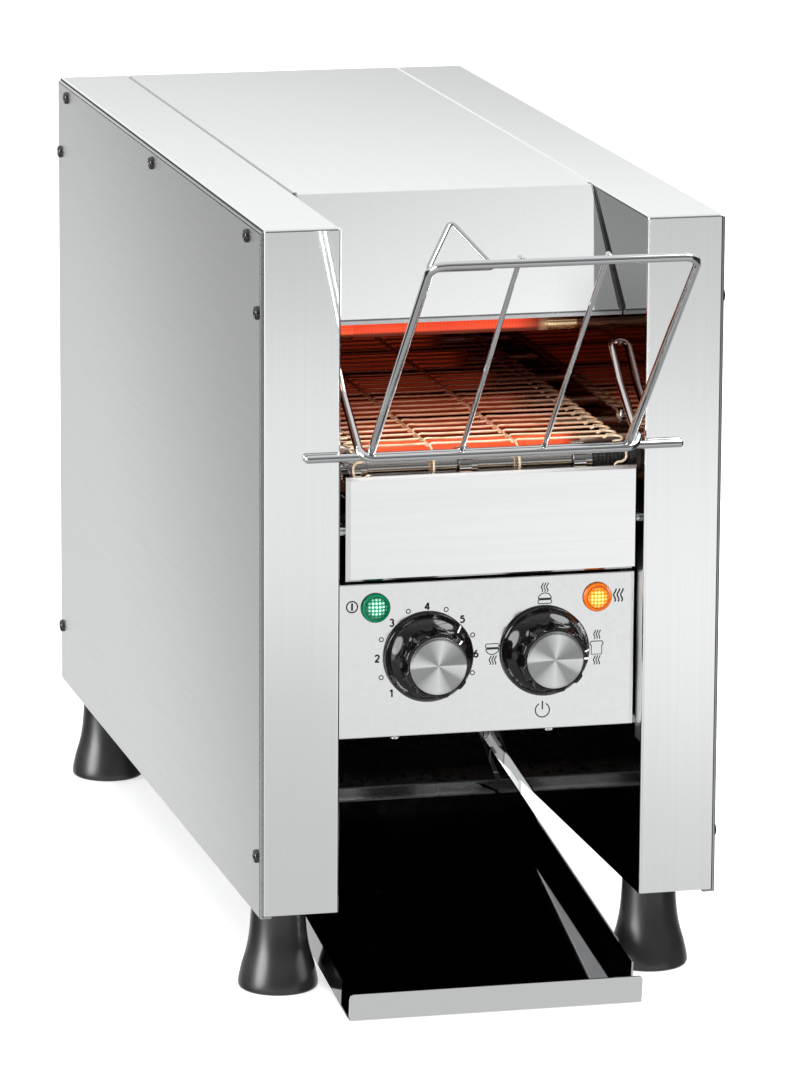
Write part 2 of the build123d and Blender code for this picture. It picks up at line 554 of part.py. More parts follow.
with BuildPart() as heater_end_caps:
    for d, z in [(d, SHAFT_Z) for d in LOWER_TUBES_D] + [(d, UPPER_TUBE_Z) for d in UPPER_TUBES_D]:
        for s in (-1, 1):
            rod_x(min(s * 62, s * 92), max(s * 62, s * 92), d, z, TUBE_CAP_R)
            rod_x(min(s * 61, s * 66.3), max(s * 61, s * 66.3), d, z, TUBE_R + 0.05, Mode.SUBTRACT)
save(heater_end_caps, "heater_end_caps")

for rname, z0, z1, fz0, fz1, d0, d1 in (("lower_reflector", 275.0, 276.0, 276.0, 283.5, 40, 400),
                                       ("upper_reflector", 378.0, 379.0, 379.0, 390.0, 74, 400)):
    with BuildPart() as refl:
        slab(-HOOD_X, HOOD_X, d0, d1, z0, z1)
        for s in (-1, 1):
            slab(min(s * HOOD_X, s * (HOOD_X - 1)), max(s * HOOD_X, s * (HOOD_X - 1)), d0, d1, fz0, fz1)
            for d, z in WALL_SCREWS[5:9]:
                if fz0 < z < fz1:
                    rod_x(s * XI - 3, s * XI + 3, d, z, 1.6, Mode.SUBTRACT)
    save(refl, rname)

# ------------------------------------------------------------------------ drive
def sprocket(teeth, d, z, hub_r):
    """Small roller-chain wheel on the X axis, in the current part."""
    rp = 6.35 / (2 * math.sin(math.pi / teeth))
    with BuildSketch(Plane(origin=(CHAIN_X - 1.4, Y(d), z), x_dir=(0, 1, 0), z_dir=(1, 0, 0))) as w:
        Circle(rp + 1.4)
        with PolarLocations(rp, teeth):
            Circle(1.7, mode=Mode.SUBTRACT)
            with Locations((1.6, 0)):
                Rectangle(3.2, 3.0, mode=Mode.SUBTRACT)
        Circle(SHAFT_R + 0.02, mode=Mode.SUBTRACT)
    extrude(w.sketch, amount=2.8)
    with BuildSketch(Plane(origin=(CHAIN_X + 1.4, Y(d), z), x_dir=(0, 1, 0), z_dir=(1, 0, 0))) as h:
        Circle(hub_r)
        Circle(SHAFT_R + 0.02, mode=Mode.SUBTRACT)
    extrude(h.sketch, amount=1.6)
    return rp


with BuildPart() as drive_chain_wheel:
    RP_DRIVE = sprocket(12, SHAFT_REAR_D, SHAFT_Z, 7.0)
save(drive_chain_wheel, "drive_chain_wheel")

with BuildPart() as motor_chain_wheel:
    RP_MOTOR = sprocket(10, MOTOR_D, MOTOR_Z, 7.0)
save(motor_chain_wheel, "motor_chain_wheel")

with BuildPart() as motor_shaft:
    rod_x(86.5, 105.5, MOTOR_D, MOTOR_Z, SHAFT_R)
save(motor_shaft, "motor_shaft")

with BuildPart() as drive_chain:
    for x0 in (CHAIN_X - 3.1, CHAIN_X + 1.7):
        for grow, mode in ((2.4, Mode.ADD), (-2.4, Mode.SUBTRACT)):
            pl = Plane(origin=(x0, 0, 0), x_dir=(0, 1, 0), z_dir=(1, 0, 0))
            with BuildSketch(pl) as loop:
                with Locations((Y(SHAFT_REAR_D), SHAFT_Z)):
                    Circle(RP_DRIVE + grow)
                with Locations((Y(MOTOR_D), MOTOR_Z)):
                    Circle(RP_MOTOR + grow)
                make_hull()
            extrude(loop.sketch, amount=1.4, mode=mode)
save(drive_chain, "drive_chain")

with BuildPart() as motor_bracket:
    slab(94.2, 95.7, 385, 465, 125, 215)
    slab(XI + SHEET, 95.7, 385, 386.5, 125, 215)
    slab(XI + SHEET, 95.7, 463.5, 465, 125, 215)
    rod_x(93, 97, MOTOR_D, MOTOR_Z, 6, Mode.SUBTRACT)
save(motor_bracket, "motor_bracket")

with BuildPart() as gear_motor:
    slab(95.7, 108, 395, 455, 140, 200)
    fillet(gear_motor.edges().filter_by(Axis.X), radius=5)
    rod_x(108, 122.5, MOTOR_D, MOTOR_Z, 25)
    rod_x(95, 106, MOTOR_D, MOTOR_Z, SHAFT_R + 0.05, Mode.SUBTRACT)
save(gear_motor, "gear_motor")

# ------------------------------------------------------------------ toast path
with BuildPart() as toast_chute:
    a0 = math.radians(24.0)
    p0 = (280.0, 47.0)
    p1 = (430.0, 47.0 + 150.0 * math.tan(a0))
    rad = (552.0 - p1[0]) / (1 - math.sin(a0))
    cen = (p1[0] - rad * math.sin(a0), p1[1] + rad * math.cos(a0))
    arc = [(cen[0] + rad * math.sin(a0 + (math.pi / 2 - a0) * k / 10),
            cen[1] - rad * math.cos(a0 + (math.pi / 2 - a0) * k / 10)) for k in range(1, 11)]
    line = [p0, p1] + arc + [(552.0, 345.0)]
    folded(line, SHEET, -HOOD_X, HOOD_X)
    slab(-XI, -77.0, 270, 325, 40, 75, Mode.SUBTRACT)
    slab(77.0, XI, 270, 325, 40, 75, Mode.SUBTRACT)
    for s in (-1, 1):
        slab(min(s * HOOD_X, s * (HOOD_X - 1)), max(s * HOOD_X, s * (HOOD_X - 1)), 525, 551.5, 250, 330)
        for d, z in WALL_SCREWS[9:]:
            rod_x(s * XI - 3, s * XI + 3, d, z, 1.6, Mode.SUBTRACT)
save(toast_chute, "toast_chute")

tray_plane = Plane(origin=(0, Y(TRAY_D), TRAY_Z), x_dir=(1, 0, 0),
                   z_dir=(0, -math.sin(TRAY_ANGLE), math.cos(TRAY_ANGLE)))
with BuildPart() as toast_tray:
    with BuildSketch(tray_plane):
        with Locations(((TRAY_X0 + TRAY_X1) / 2, TRAY_LEN / 2)):
            Rectangle(TRAY_X1 - TRAY_X0, TRAY_LEN)
    extrude(amount=1.0)
    with BuildSketch(tray_plane.offset(1.0)):
        for x in (TRAY_X0 + 0.5, TRAY_X1 - 0.5):
            with Locations((x, (19.0 + TRAY_LEN) / 2)):
                Rectangle(1.0, TRAY_LEN - 19.0)
    extrude(amount=TRAY_WALL - 1.0)
    with BuildSketch(Plane(origin=tray_plane.from_local_coords((0, 0, 0)), x_dir=(1, 0, 0),
                           z_dir=(0, -math.cos(TRAY_ANGLE), -math.sin(TRAY_ANGLE)))) as lip:
        with Locations(((TRAY_X0 + TRAY_X1) / 2, TRAY_LIP / 2)):
            Rectangle(TRAY_X1 - TRAY_X0, TRAY_LIP)
        fillet(lip.vertices().group_by(Axis.Z)[-1], radius=2.6)
    extrude(amount=-1.0)
save(toast_tray, "toast_tray")

with BuildPart() as tray_support_strap:
    slab(-87.5, 87.5, 262, 282, 38.2, 39.85)
    for s in (-1, 1):
        slab(min(s * 86, s * 87.5), max(s * 86, s * 87.5), 262, 282, 38.2, FOOT_H)
        slab(min(s * 86, s * 100), max(s * 86, s * 100), 262, 282, FOOT_H - 1.5, FOOT_H)
        rod_z(s * STRAP_SCREW_X, STRAP_SCREW_D, FOOT_H - 3, FOOT_H + 1, 1.7, Mode.SUBTRACT)
save(tray_support_strap, "tray_support_strap")

# ----------------------------------------------------------------- infeed rack
with BuildPart() as infeed_rack:
    C_D, C_Z = -7.0, 303.5
    ARM = 76.3
    arm = [(90, PIN_D, PIN_Z), (RACK_X + ARM, PIN_D, PIN_Z), (RACK_X + ARM, 33.0, 329.8),
           (RACK_X + ARM, C_D, C_Z), (RACK_X - ARM, C_D, C_Z), (RACK_X - ARM, 33.0, 329.8),
           (RACK_X - ARM, PIN_D, PIN_Z), (-90, PIN_D, PIN_Z)]
    with BuildLine() as hook_line:
        FilletPolyline([(x, Y(d), z) for x, d, z in arm], radius=[4.5, 30, 8, 8, 30, 4.5])
    with BuildSketch(Plane(origin=hook_line.line @ 0, z_dir=hook_line.line % 0)):
        Circle(RACK_WIRE_R)
    sweep(path=hook_line.line)
    leg = [(RACK_X - 70.5, -4.5, 305.6), (RACK_X - 70.5, -131, 427.5),
           (RACK_X + 70.5, -131, 427.5), (RACK_X + 70.5, -4.5, 305.6)]
    with BuildLine() as frame_line:
        FilletPolyline([(x, Y(d), z) for x, d, z in leg], radius=8.0)
    with BuildSketch(Plane(origin=frame_line.line @ 0, z_dir=frame_line.line % 0)):
        Circle(RACK_WIRE_R)
    sweep(path=frame_line.line)
    rod_x(-103.4, 103.6, -2.4, 303.6, RACK_WIRE_R)
    for x0, x1 in ((-18.3, -21.0), (26.8, 25.2)):
        p = Vector(x0, Y(-2.6), 305.2)
        q = Vector(x1, Y(-128.4), 430.3)
        with BuildSketch(Plane(origin=p, z_dir=q - p)) as bar:
            Circle(RACK_BAR_R)
        extrude(bar.sketch, amount=(q - p).length)
save(infeed_rack, "infeed_rack")

# -------------------------------------------------------------- inside fixings
with BuildPart() as casing_screws:
    for s in (-1, 1):
        for d, z in SIDE_SCREWS:
            pan_screw((s * PANEL_OUT, Y(d), z), (s, 0, 0), 3.7, 2.0, 1.5, 4.5)
        pan_screw((s * BOX_SCREW_X, Y(BOX_SCREW_D), BOX_Z0), (0, 0, -1), 3.0, 2.8, 1.5, 12.0)
        pan_screw((s * STRAP_SCREW_X, Y(STRAP_SCREW_D), FOOT_H - 1.5), (0, 0, -1), 3.0, 2.0, 1.5, 6.0)
    for x, z in COVER_SCREWS:
        pan_screw((x, Y(BODY_D + 1), z), (0, 1, 0), 3.0, 2.0, 1.5, 4.5)
save(casing_screws, "casing_screws")

with BuildPart() as inner_screws:
    for s in (-1, 1):
        for d, z in WALL_SCREWS:
            pan_screw((s * (XI + SHEET), Y(d), z), (s, 0, 0), 3.0, 2.0, 1.5, 4.5)
        for d in (330, 480):
            pan_screw((s * XI, Y(d), 63), (-s, 0, 0), 3.0, 2.0, 1.5, 4.5)
        for q in (-1, 1):
            pan_screw((s * FAN_PITCH, Y(198.8), FAN_Z + q * FAN_PITCH), (0, -1, 0), 3.0, 2.0, 1.5, 26)
save(inner_screws, "inner_screws")

print("written", len(os.listdir("parts")), "files")
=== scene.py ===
import bpy
import bmesh
import json
import math
import random
from mathutils import Vector, Matrix, noise


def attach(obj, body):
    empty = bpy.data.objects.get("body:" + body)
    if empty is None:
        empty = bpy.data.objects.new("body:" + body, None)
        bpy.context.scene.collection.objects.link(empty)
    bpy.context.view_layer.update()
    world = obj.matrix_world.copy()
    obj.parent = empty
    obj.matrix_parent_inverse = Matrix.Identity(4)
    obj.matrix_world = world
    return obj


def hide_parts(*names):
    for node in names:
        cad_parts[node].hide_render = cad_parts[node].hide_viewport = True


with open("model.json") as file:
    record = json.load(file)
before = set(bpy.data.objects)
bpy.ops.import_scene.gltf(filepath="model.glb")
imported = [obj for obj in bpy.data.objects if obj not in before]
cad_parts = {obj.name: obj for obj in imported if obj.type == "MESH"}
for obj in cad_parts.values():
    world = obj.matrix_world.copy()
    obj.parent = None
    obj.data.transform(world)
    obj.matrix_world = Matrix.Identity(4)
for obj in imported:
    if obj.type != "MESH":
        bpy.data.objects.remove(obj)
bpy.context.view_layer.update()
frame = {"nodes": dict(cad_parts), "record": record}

MM = 0.001
FY = -219.35          # row y of the housings' front faces, mm
ROOT = "casing"
PI = math.pi


def P(x, d, z):
    """Point from x, depth behind the front faces, and height, all in mm."""
    return Vector((x * MM, (FY + d) * MM, z * MM))


# ================================================================ node helpers
class Graph:
    def __init__(self, name):
        self.m = bpy.data.materials.new(name)
        self.m.use_nodes = True
        self.t = self.m.node_tree
        self.n, self.l = self.t.nodes, self.t.links
        self.n.clear()
        self.out = self.n.new("ShaderNodeOutputMaterial")
        self.b = self.n.new("ShaderNodeBsdfPrincipled")
        self.l.new(self.b.outputs[0], self.out.inputs[0])
        self.co = self.n.new("ShaderNodeTexCoord").outputs["Object"]
        self._xyz = None

    def put(self, socket, v):
        if isinstance(v, bpy.types.NodeSocket):
            self.l.new(v, socket)
        elif socket.type == "RGBA" and len(v) == 3:
            socket.default_value = (*v, 1.0)
        else:
            socket.default_value = v

    def set(self, **kw):
        names = {"base": "Base Color", "metal": "Metallic", "rough": "Roughness", "ior": "IOR",
                 "normal": "Normal", "aniso": "Anisotropic", "aniso_rot": "Anisotropic Rotation",
                 "tangent": "Tangent", "trans": "Transmission Weight", "coat": "Coat Weight",
                 "coat_rough": "Coat Roughness", "emit": "Emission Color",
                 "power": "Emission Strength", "spec": "Specular IOR Level",
                 "sheen": "Sheen Weight", "sheen_rough": "Sheen Roughness", "alpha": "Alpha",
                 "coat_normal": "Coat Normal"}
        for k, v in kw.items():
            self.put(self.b.inputs[names[k]], v)
        return self

    def xyz(self):
        if self._xyz is None:
            s = self.n.new("ShaderNodeSeparateXYZ")
            self.l.new(self.co, s.inputs[0])
            self._xyz = s.outputs
        return self._xyz

    def facing(self):
        """Components of the surface's own direction."""
        tc = self.n.new("ShaderNodeTexCoord")
        s = self.n.new("ShaderNodeSeparateXYZ")
        self.l.new(tc.outputs["Normal"], s.inputs[0])
        return s.outputs

    def mapping(self, scale=(1, 1, 1), rot=(0, 0, 0), loc=(0, 0, 0)):
        m = self.n.new("ShaderNodeMapping")
        m.inputs["Scale"].default_value = scale
        m.inputs["Rotation"].default_value = rot
        m.inputs["Location"].default_value = loc
        self.l.new(self.co, m.inputs["Vector"])
        return m.outputs["Vector"]

    def noise(self, vec, scale=1.0, detail=3.0, rough=0.5, distortion=0.0):
        t = self.n.new("ShaderNodeTexNoise")
        self.l.new(vec, t.inputs["Vector"])
        t.inputs["Scale"].default_value = scale
        t.inputs["Detail"].default_value = detail
        t.inputs["Roughness"].default_value = rough
        t.inputs["Distortion"].default_value = distortion
        return t.outputs["Fac"]

    def voronoi(self, vec, scale=1.0, feature="F1"):
        t = self.n.new("ShaderNodeTexVoronoi")
        t.feature = feature
        self.l.new(vec, t.inputs["Vector"])
        t.inputs["Scale"].default_value = scale
        return t.outputs["Distance"]

    def rng(self, v, a, b, c, d, kind="LINEAR"):
        t = self.n.new("ShaderNodeMapRange")
        t.interpolation_type = kind
        self.put(t.inputs["Value"], v)
        for k, x in (("From Min", a), ("From Max", b), ("To Min", c), ("To Max", d)):
            t.inputs[k].default_value = x
        return t.outputs["Result"]

    def math(self, op, a, b=0.0, c=0.0):
        t = self.n.new("ShaderNodeMath")
        t.operation = op
        self.put(t.inputs[0], a)
        self.put(t.inputs[1], b)
        if op in ("MULTIPLY_ADD", "SMOOTH_MIN", "SMOOTH_MAX", "COMPARE"):
            self.put(t.inputs[2], c)
        return t.outputs[0]

    def ramp(self, fac, stops, kind="LINEAR"):
        t = self.n.new("ShaderNodeValToRGB")
        t.color_ramp.interpolation = kind
        el = t.color_ramp.elements
        while len(el) < len(stops):
            el.new(0.5)
        for e, (p, c) in zip(el, stops):
            e.position = p
            c = (c, c, c) if isinstance(c, (int, float)) else c
            e.color = (*c, 1.0)
        self.l.new(fac, t.inputs["Fac"])
        return t.outputs["Color"]

    def mix(self, fac, a, b, blend="MIX"):
        t = self.n.new("ShaderNodeMix")
        t.data_type = "RGBA"
        t.blend_type = blend
        self.put(t.inputs["Factor"], fac)
        self.put(t.inputs[6], a)
        self.put(t.inputs[7], b)
        return t.outputs[2]

    def bump(self, h, strength=0.3, dist=0.0002, normal=None):
        t = self.n.new("ShaderNodeBump")
        t.inputs["Strength"].default_value = strength
        t.inputs["Distance"].default_value = dist
        self.l.new(h, t.inputs["Height"])
        if normal is not None:
            self.l.new(normal, t.inputs["Normal"])
        return t.outputs["Normal"]


def steel(name, base, rough, grain=(700, 700, 9), amount=0.05, cloud=0.015, bump=0.02,
          tint=None, extra=None):
    """Rolled or brushed metal: grain direction is the axis with the small number."""
    g = Graph(name)
    fine = g.noise(g.mapping(grain), 1.0, 4.0, 0.6)
    soft = g.noise(g.mapping((7, 7, 7)), 1.0, 2.0, 0.5)
    dark = tuple(c * (1 - cloud * 2.2) for c in base)
    light = tuple(min(1.0, c * (1 + cloud)) for c in base)
    col = g.ramp(soft, [(0.3, dark), (0.7, light)])
    col = g.mix(g.rng(fine, 0.35, 0.65, 0.0, 0.35), col,
                tuple(c * 0.94 for c in base))
    if tint is not None:
        col = tint(g, col)
    r = g.rng(fine, 0.3, 0.7, rough - amount, rough + amount)
    if extra is not None:
        col, r = extra(g, col, r)
    g.set(base=col, metal=1.0, rough=r, normal=g.bump(fine, bump, 0.0001))
    return g.m


# ================================================================= materials
MAT = {}


def inner_walls(g, col, r):
    """The lane walls are polished. Above their lower part they carry painted shade, a dark tone for the dark cavity
    they reflect, and the band by the elements is heat-toned. The outside keeps its bright finish.
    """
    x, y, z = g.xyz()
    ax = g.math("ABSOLUTE", x)
    lane = g.math("MULTIPLY", g.rng(ax, 0.08338, 0.08352, 1.0, 0.0),
                  g.math("MULTIPLY", g.rng(y, -0.2182, -0.2176, 0.0, 1.0), g.rng(y, 0.3380, 0.3386, 1.0, 0.0)))
    streak = g.noise(g.mapping((40, 26, 900)), 1.0, 3.0, 0.6)
    hot = g.math("MULTIPLY", g.rng(z, 0.270, 0.292, 0.0, 1.0, "SMOOTHSTEP"),
                 g.rng(z, 0.345, 0.366, 1.0, 0.0, "SMOOTHSTEP"))
    low = g.rng(z, 0.236, 0.262, 1.0, 0.0, "SMOOTHSTEP")
    front = g.math("MULTIPLY", g.math("MULTIPLY", low, g.rng(y, -0.2074, -0.2066, 1.0, 0.0)),
                   g.rng(z, 0.138, 0.140, 0.0, 1.0))
    # painted shade: the walls above the lower part get a dark tone for the cavity they reflect, while the lower part
    # stays bright
    painted_cavity_shade = g.mix(low, (0.118, 0.122, 0.122), (0.90, 0.90, 0.90))
    warm = g.mix(g.rng(streak, 0.3, 0.7, 0, 1), (0.16, 0.085, 0.065), (0.32, 0.17, 0.12))
    wall = g.mix(hot, painted_cavity_shade, warm)
    col = g.mix(lane, col, wall)
    r = g.math("MULTIPLY_ADD", lane, g.math("SUBTRACT", g.math("MULTIPLY_ADD", front, 0.26, 0.05), r), r)
    return col, r


MAT["stainless"] = steel("stainless_bright", (0.86, 0.865, 0.865), 0.045, (500, 500, 6), 0.008,
                         0.005, 0.003, extra=inner_walls)


def side_panel_painted_shading(g, col):
    """Painted shading on the side panels: darker towards the front top, full tone towards the rear bottom."""
    x, y, z = g.xyz()
    k = g.math("ADD", g.math("MULTIPLY", y, 1.15), g.math("MULTIPLY", z, -1.05))
    f = g.rng(k, -0.69, 0.07, 0.0, 1.0, "SMOOTHSTEP")
    return g.mix(f, g.mix(1.0, col, (0.455, 0.455, 0.455), "MULTIPLY"), col)


def hood_painted_shading(g, col, r):
    """The folded front of the hood carries painted shade: greyer towards its upper left corner, darker towards its
    right edge low down, and a painted dark line along the lip's fold. The lip below it is rougher.
    """
    x, y, z = g.xyz()
    fx = g.rng(x, -0.08, 0.08, 0.0, 0.13)
    fz = g.rng(z, 0.368, 0.4255, 0.18, 0.0)
    k = g.math("ADD", g.math("ADD", fx, fz), 0.785)
    on = g.rng(z, 0.4254, 0.4259, 1.0, 0.0)
    k = g.math("MULTIPLY_ADD", on, g.math("SUBTRACT", k, 1.0), 1.0)
    # painted shade towards the right edge, low on the slope
    side = g.math("MULTIPLY", g.rng(x, 0.040, 0.078, 0.0, 1.0, "SMOOTHSTEP"), g.rng(z, 0.366, 0.400, 1.0, 0.0, "SMOOTHSTEP"))
    k = g.math("MULTIPLY", k, g.math("MULTIPLY_ADD", side, -0.24, 1.0))
    # painted shade: a dark line along the lip's fold
    line = g.math("MULTIPLY", g.rng(z, 0.3668, 0.3671, 0.0, 1.0), g.rng(z, 0.3677, 0.3680, 1.0, 0.0))
    k = g.math("MULTIPLY", k, g.math("MULTIPLY_ADD", line, -0.80, 1.0))
    grey = g.n.new("ShaderNodeCombineColor")
    for i in range(3):
        g.l.new(k, grey.inputs[i])
    r = g.math("MULTIPLY_ADD", g.rng(z, 0.3670, 0.3674, 1.0, 0.0), 0.26, r)
    return g.mix(1.0, col, grey.outputs[0], "MULTIPLY"), r


def control_panel_painted_shading(g, col):
    """Control panel: painted shade darkens the right and the top a little, so the lit sheet reads as one flat tone."""
    x, y, z = g.xyz()
    fx = g.rng(x, -0.08, 0.08, 0.0, 1.0)
    fz = g.rng(z, 0.147, 0.2315, 0.0, 1.0)
    left = g.mix(fz, (1.0, 1.0, 1.0), (0.97, 0.97, 0.97))
    right = g.mix(fz, (0.97, 0.97, 0.97), (0.91, 0.91, 0.91))
    return g.mix(1.0, col, g.mix(fx, left, right), "MULTIPLY")


def tray_tone_and_painted_shade(g, col):
    """The lip is bright and clean and the bed is darker. The outside of the left wall carries painted shade, darkest
    towards the front.
    """
    x, y, z = g.xyz()
    lip = g.rng(y, -0.2390, -0.2376, 1.0, 0.0)
    out = g.rng(x, -0.0826, -0.0823, 1.0, 0.0)
    # painted shade on the outside of the left wall
    col = g.mix(out, col, g.mix(g.rng(y, -0.235, -0.10, 0.0, 1.0), (0.13, 0.13, 0.13), (0.30, 0.30, 0.30)))
    return g.mix(lip, col, (0.86, 0.865, 0.865))


MAT["panel_steel"] = steel("panel_satin", (0.685, 0.685, 0.68), 0.26, (14, 14, 800), 0.006,
                           0.004, 0.0015, tint=side_panel_painted_shading)
MAT["hood_steel"] = steel("hood_bright", (0.88, 0.885, 0.885), 0.05, (500, 8, 500), 0.01,
                          0.005, 0.003, extra=hood_painted_shading)


def fascia_bevel_painted_light(g, col, r):
    """Painted light on the bevels: the upright left bevel is painted darker as shade and the top bevel brighter as a
    highlight. The top bevel is also rougher, linished.
    """
    nx, ny, nz = g.facing()
    left = g.rng(nx, -0.45, -0.30, 1.0, 0.0)
    top = g.rng(nz, 0.30, 0.45, 0.0, 1.0)
    col = g.mix(left, col, (0.62, 0.62, 0.62))
    col = g.mix(top, col, (1.0, 1.0, 1.0))
    return col, g.math("MULTIPLY_ADD", top, 0.30, r)


MAT["fascia_steel"] = steel("fascia_bright", (0.89, 0.89, 0.89), 0.06, (7, 400, 400), 0.006,
                            0.002, 0.001, extra=fascia_bevel_painted_light)
MAT["control_steel"] = steel("control_satin", (0.945, 0.95, 0.945), 0.125, (300, 300, 300), 0.006,
                             0.001, 0.001, tint=control_panel_painted_shading)
MAT["mirror_steel"] = steel("mirror_steel", (0.095, 0.075, 0.068), 0.22, (350, 12, 350), 0.05,
                            0.05, 0.02)
MAT["tray_steel"] = steel("tray_steel", (0.62, 0.62, 0.62), 0.05, (300, 12, 300), 0.015,
                          0.02, 0.006, tint=tray_tone_and_painted_shade)
MAT["galvanised"] = steel("galvanised_sheet", (0.55, 0.56, 0.57), 0.38, (160, 160, 160), 0.08,
                          0.05, 0.04)


def chute_tone(g, col):
    """The foot of the chute is bright, the rest of the sheet is dark."""
    x, y, z = g.xyz()
    return g.mix(g.rng(y, 0.064, 0.074, 1.0, 0.0), col, (0.90, 0.90, 0.90))


MAT["chute_steel"] = steel("chute_sheet", (0.20, 0.20, 0.20), 0.30, (160, 160, 160), 0.06,
                           0.05, 0.01, tint=chute_tone)
MAT["shaft_steel"] = steel("shaft_steel", (0.62, 0.61, 0.60), 0.16, (8, 600, 600), 0.05,
                           0.03, 0.02)


def screw_painted_shade(g, col):
    """Side screws get a dark base, painted shade for the dark surroundings they reflect. The ones under the control
    box are bright zinc.
    """
    x, y, z = g.xyz()
    return g.mix(g.rng(g.math("ABSOLUTE", x), 0.110, 0.112, 0.0, 1.0), col, (0.10, 0.10, 0.10))


MAT["screw_steel"] = steel("screw_steel", (0.84, 0.84, 0.84), 0.10, (900, 900, 900), 0.03,
                           0.05, 0.01, tint=screw_painted_shade)
MAT["wire_steel"] = steel("wire_steel", (0.66, 0.665, 0.67), 0.05, (500, 500, 500), 0.03,
                          0.03, 0.01)


def cap_heat_tint_painted_shade_glow(g, col):
    """Upper caps are darkened, painted shade of the chamber together with heat tint. The front left one has a painted
    red glow for the light of its quartz.
    """
    x, y, z = g.xyz()
    up = g.rng(z, 0.33, 0.34, 0.0, 1.0)
    # painted red glow on the front left cap
    painted_red_glow = g.math("MULTIPLY", g.math("MULTIPLY", up, g.rng(x, -0.060, -0.058, 1.0, 0.0)),
                 g.math("MULTIPLY", g.rng(y, -0.14, -0.13, 1.0, 0.0), g.rng(z, 0.3566, 0.3578, 0.0, 1.0)))
    g.set(emit=(1.0, 0.085, 0.028), power=g.math("MULTIPLY", painted_red_glow, 0.9))
    # painted shade with heat tint on the upper caps
    return g.mix(up, col, (0.20, 0.09, 0.055))


MAT["cap_metal"] = steel("heater_cap_metal", (0.74, 0.64, 0.56), 0.24, (12, 500, 500), 0.08,
                         0.06, 0.05, tint=cap_heat_tint_painted_shade_glow)



def belt_material():
    g = Graph("heat_tinted_wire_painted_shade")
    a = g.noise(g.mapping((60, 60, 60)), 1.0, 3.0, 0.6)
    b = g.noise(g.mapping((900, 300, 300)), 1.0, 3.0, 0.6)
    col = g.ramp(a, [(0.30, (0.66, 0.42, 0.24)), (0.5, (0.92, 0.72, 0.48)), (0.72, (0.98, 0.82, 0.66))])
    x, y, z = g.xyz()
    # painted shade: the strands darken to a dull brown towards the back of the chamber
    back = g.rng(y, -0.16, 0.05, 0.0, 1.0, "SMOOTHSTEP")
    col = g.mix(back, col, (0.34, 0.20, 0.15))
    front = g.rng(y, -0.16, -0.05, 0.45, 0.90)
    g.set(base=col, metal=front, rough=g.rng(b, 0.3, 0.7, 0.20, 0.24), normal=g.bump(b, 0.004, 0.0001))
    return g.m


MAT["belt_wire"] = belt_material()


def rubber():
    g = Graph("foot_rubber")
    a = g.noise(g.mapping((900, 900, 900)), 1.0, 4.0, 0.65)
    b = g.noise(g.mapping((40, 40, 22)), 1.0, 3.0, 0.5)
    col = g.ramp(b, [(0.3, (0.010, 0.010, 0.011)), (0.7, (0.020, 0.020, 0.021))])
    g.set(base=col, rough=g.rng(b, 0.3, 0.7, 0.27, 0.36), normal=g.bump(a, 0.12, 0.00012),
          spec=0.78)
    return g.m


MAT["foot_rubber"] = rubber()


def knob_black():
    g = Graph("knob_gloss_black")
    a = g.noise(g.mapping((120, 120, 120)), 1.0, 3.0, 0.5)
    col = g.ramp(a, [(0.3, (0.0022, 0.0018, 0.0018)), (0.7, (0.0034, 0.0028, 0.0027))])
    g.set(base=col, rough=g.rng(a, 0.3, 0.7, 0.07, 0.09), normal=g.bump(a, 0.004, 0.0002),
          spec=0.50)
    return g.m


MAT["black_plastic"] = knob_black()


def bush_black():
    g = Graph("bush_black")
    a = g.noise(g.mapping((400, 400, 400)), 1.0, 3.0, 0.6)
    col = g.ramp(a, [(0.3, (0.012, 0.012, 0.012)), (0.7, (0.030, 0.029, 0.028))])
    g.set(base=col, rough=g.rng(a, 0.3, 0.7, 0.30, 0.5), normal=g.bump(a, 0.12, 0.0002))
    return g.m


MAT["bush_plastic"] = bush_black()


def pale():
    g = Graph("pale_moulding")
    a = g.noise(g.mapping((200, 200, 200)), 1.0, 3.0, 0.6)
    col = g.ramp(a, [(0.3, (0.60, 0.59, 0.55)), (0.7, (0.68, 0.67, 0.63))])
    g.set(base=col, rough=g.rng(a, 0.3, 0.7, 0.4, 0.55), normal=g.bump(a, 0.08, 0.0002))
    return g.m


MAT["pale_plastic"] = pale()


def board():
    g = Graph("circuit_laminate")
    v = g.mapping((1, 1, 1))
    trace = g.voronoi(v, 220.0, "DISTANCE_TO_EDGE")
    a = g.noise(g.mapping((90, 90, 90)), 1.0, 3.0, 0.6)
    col = g.ramp(a, [(0.3, (0.012, 0.10, 0.035)), (0.7, (0.02, 0.16, 0.06))])
    col = g.mix(g.rng(trace, 0.0, 0.05, 0.35, 0.0), col, (0.10, 0.30, 0.12))
    g.set(base=col, rough=g.rng(a, 0.3, 0.7, 0.3, 0.45), normal=g.bump(trace, 0.1, 0.0001))
    return g.m


MAT["circuit_board"] = board()


def ink(name, c):
    g = Graph(name)
    a = g.noise(g.mapping((2500, 2500, 2500)), 1.0, 2.0, 0.6)
    col = g.ramp(a, [(0.3, tuple(x * 0.85 for x in c)), (0.7, c)])
    g.set(base=col, rough=g.rng(a, 0.3, 0.7, 0.45, 0.6), normal=g.bump(a, 0.05, 0.00005))
    return g.m


MAT["ink"] = ink("legend_ink", (0.004, 0.004, 0.0045))
MAT["ink_light"] = ink("legend_ink_thin", (0.012, 0.012, 0.013))
MAT["white_mark"] = ink("pointer_white", (0.88, 0.88, 0.86))


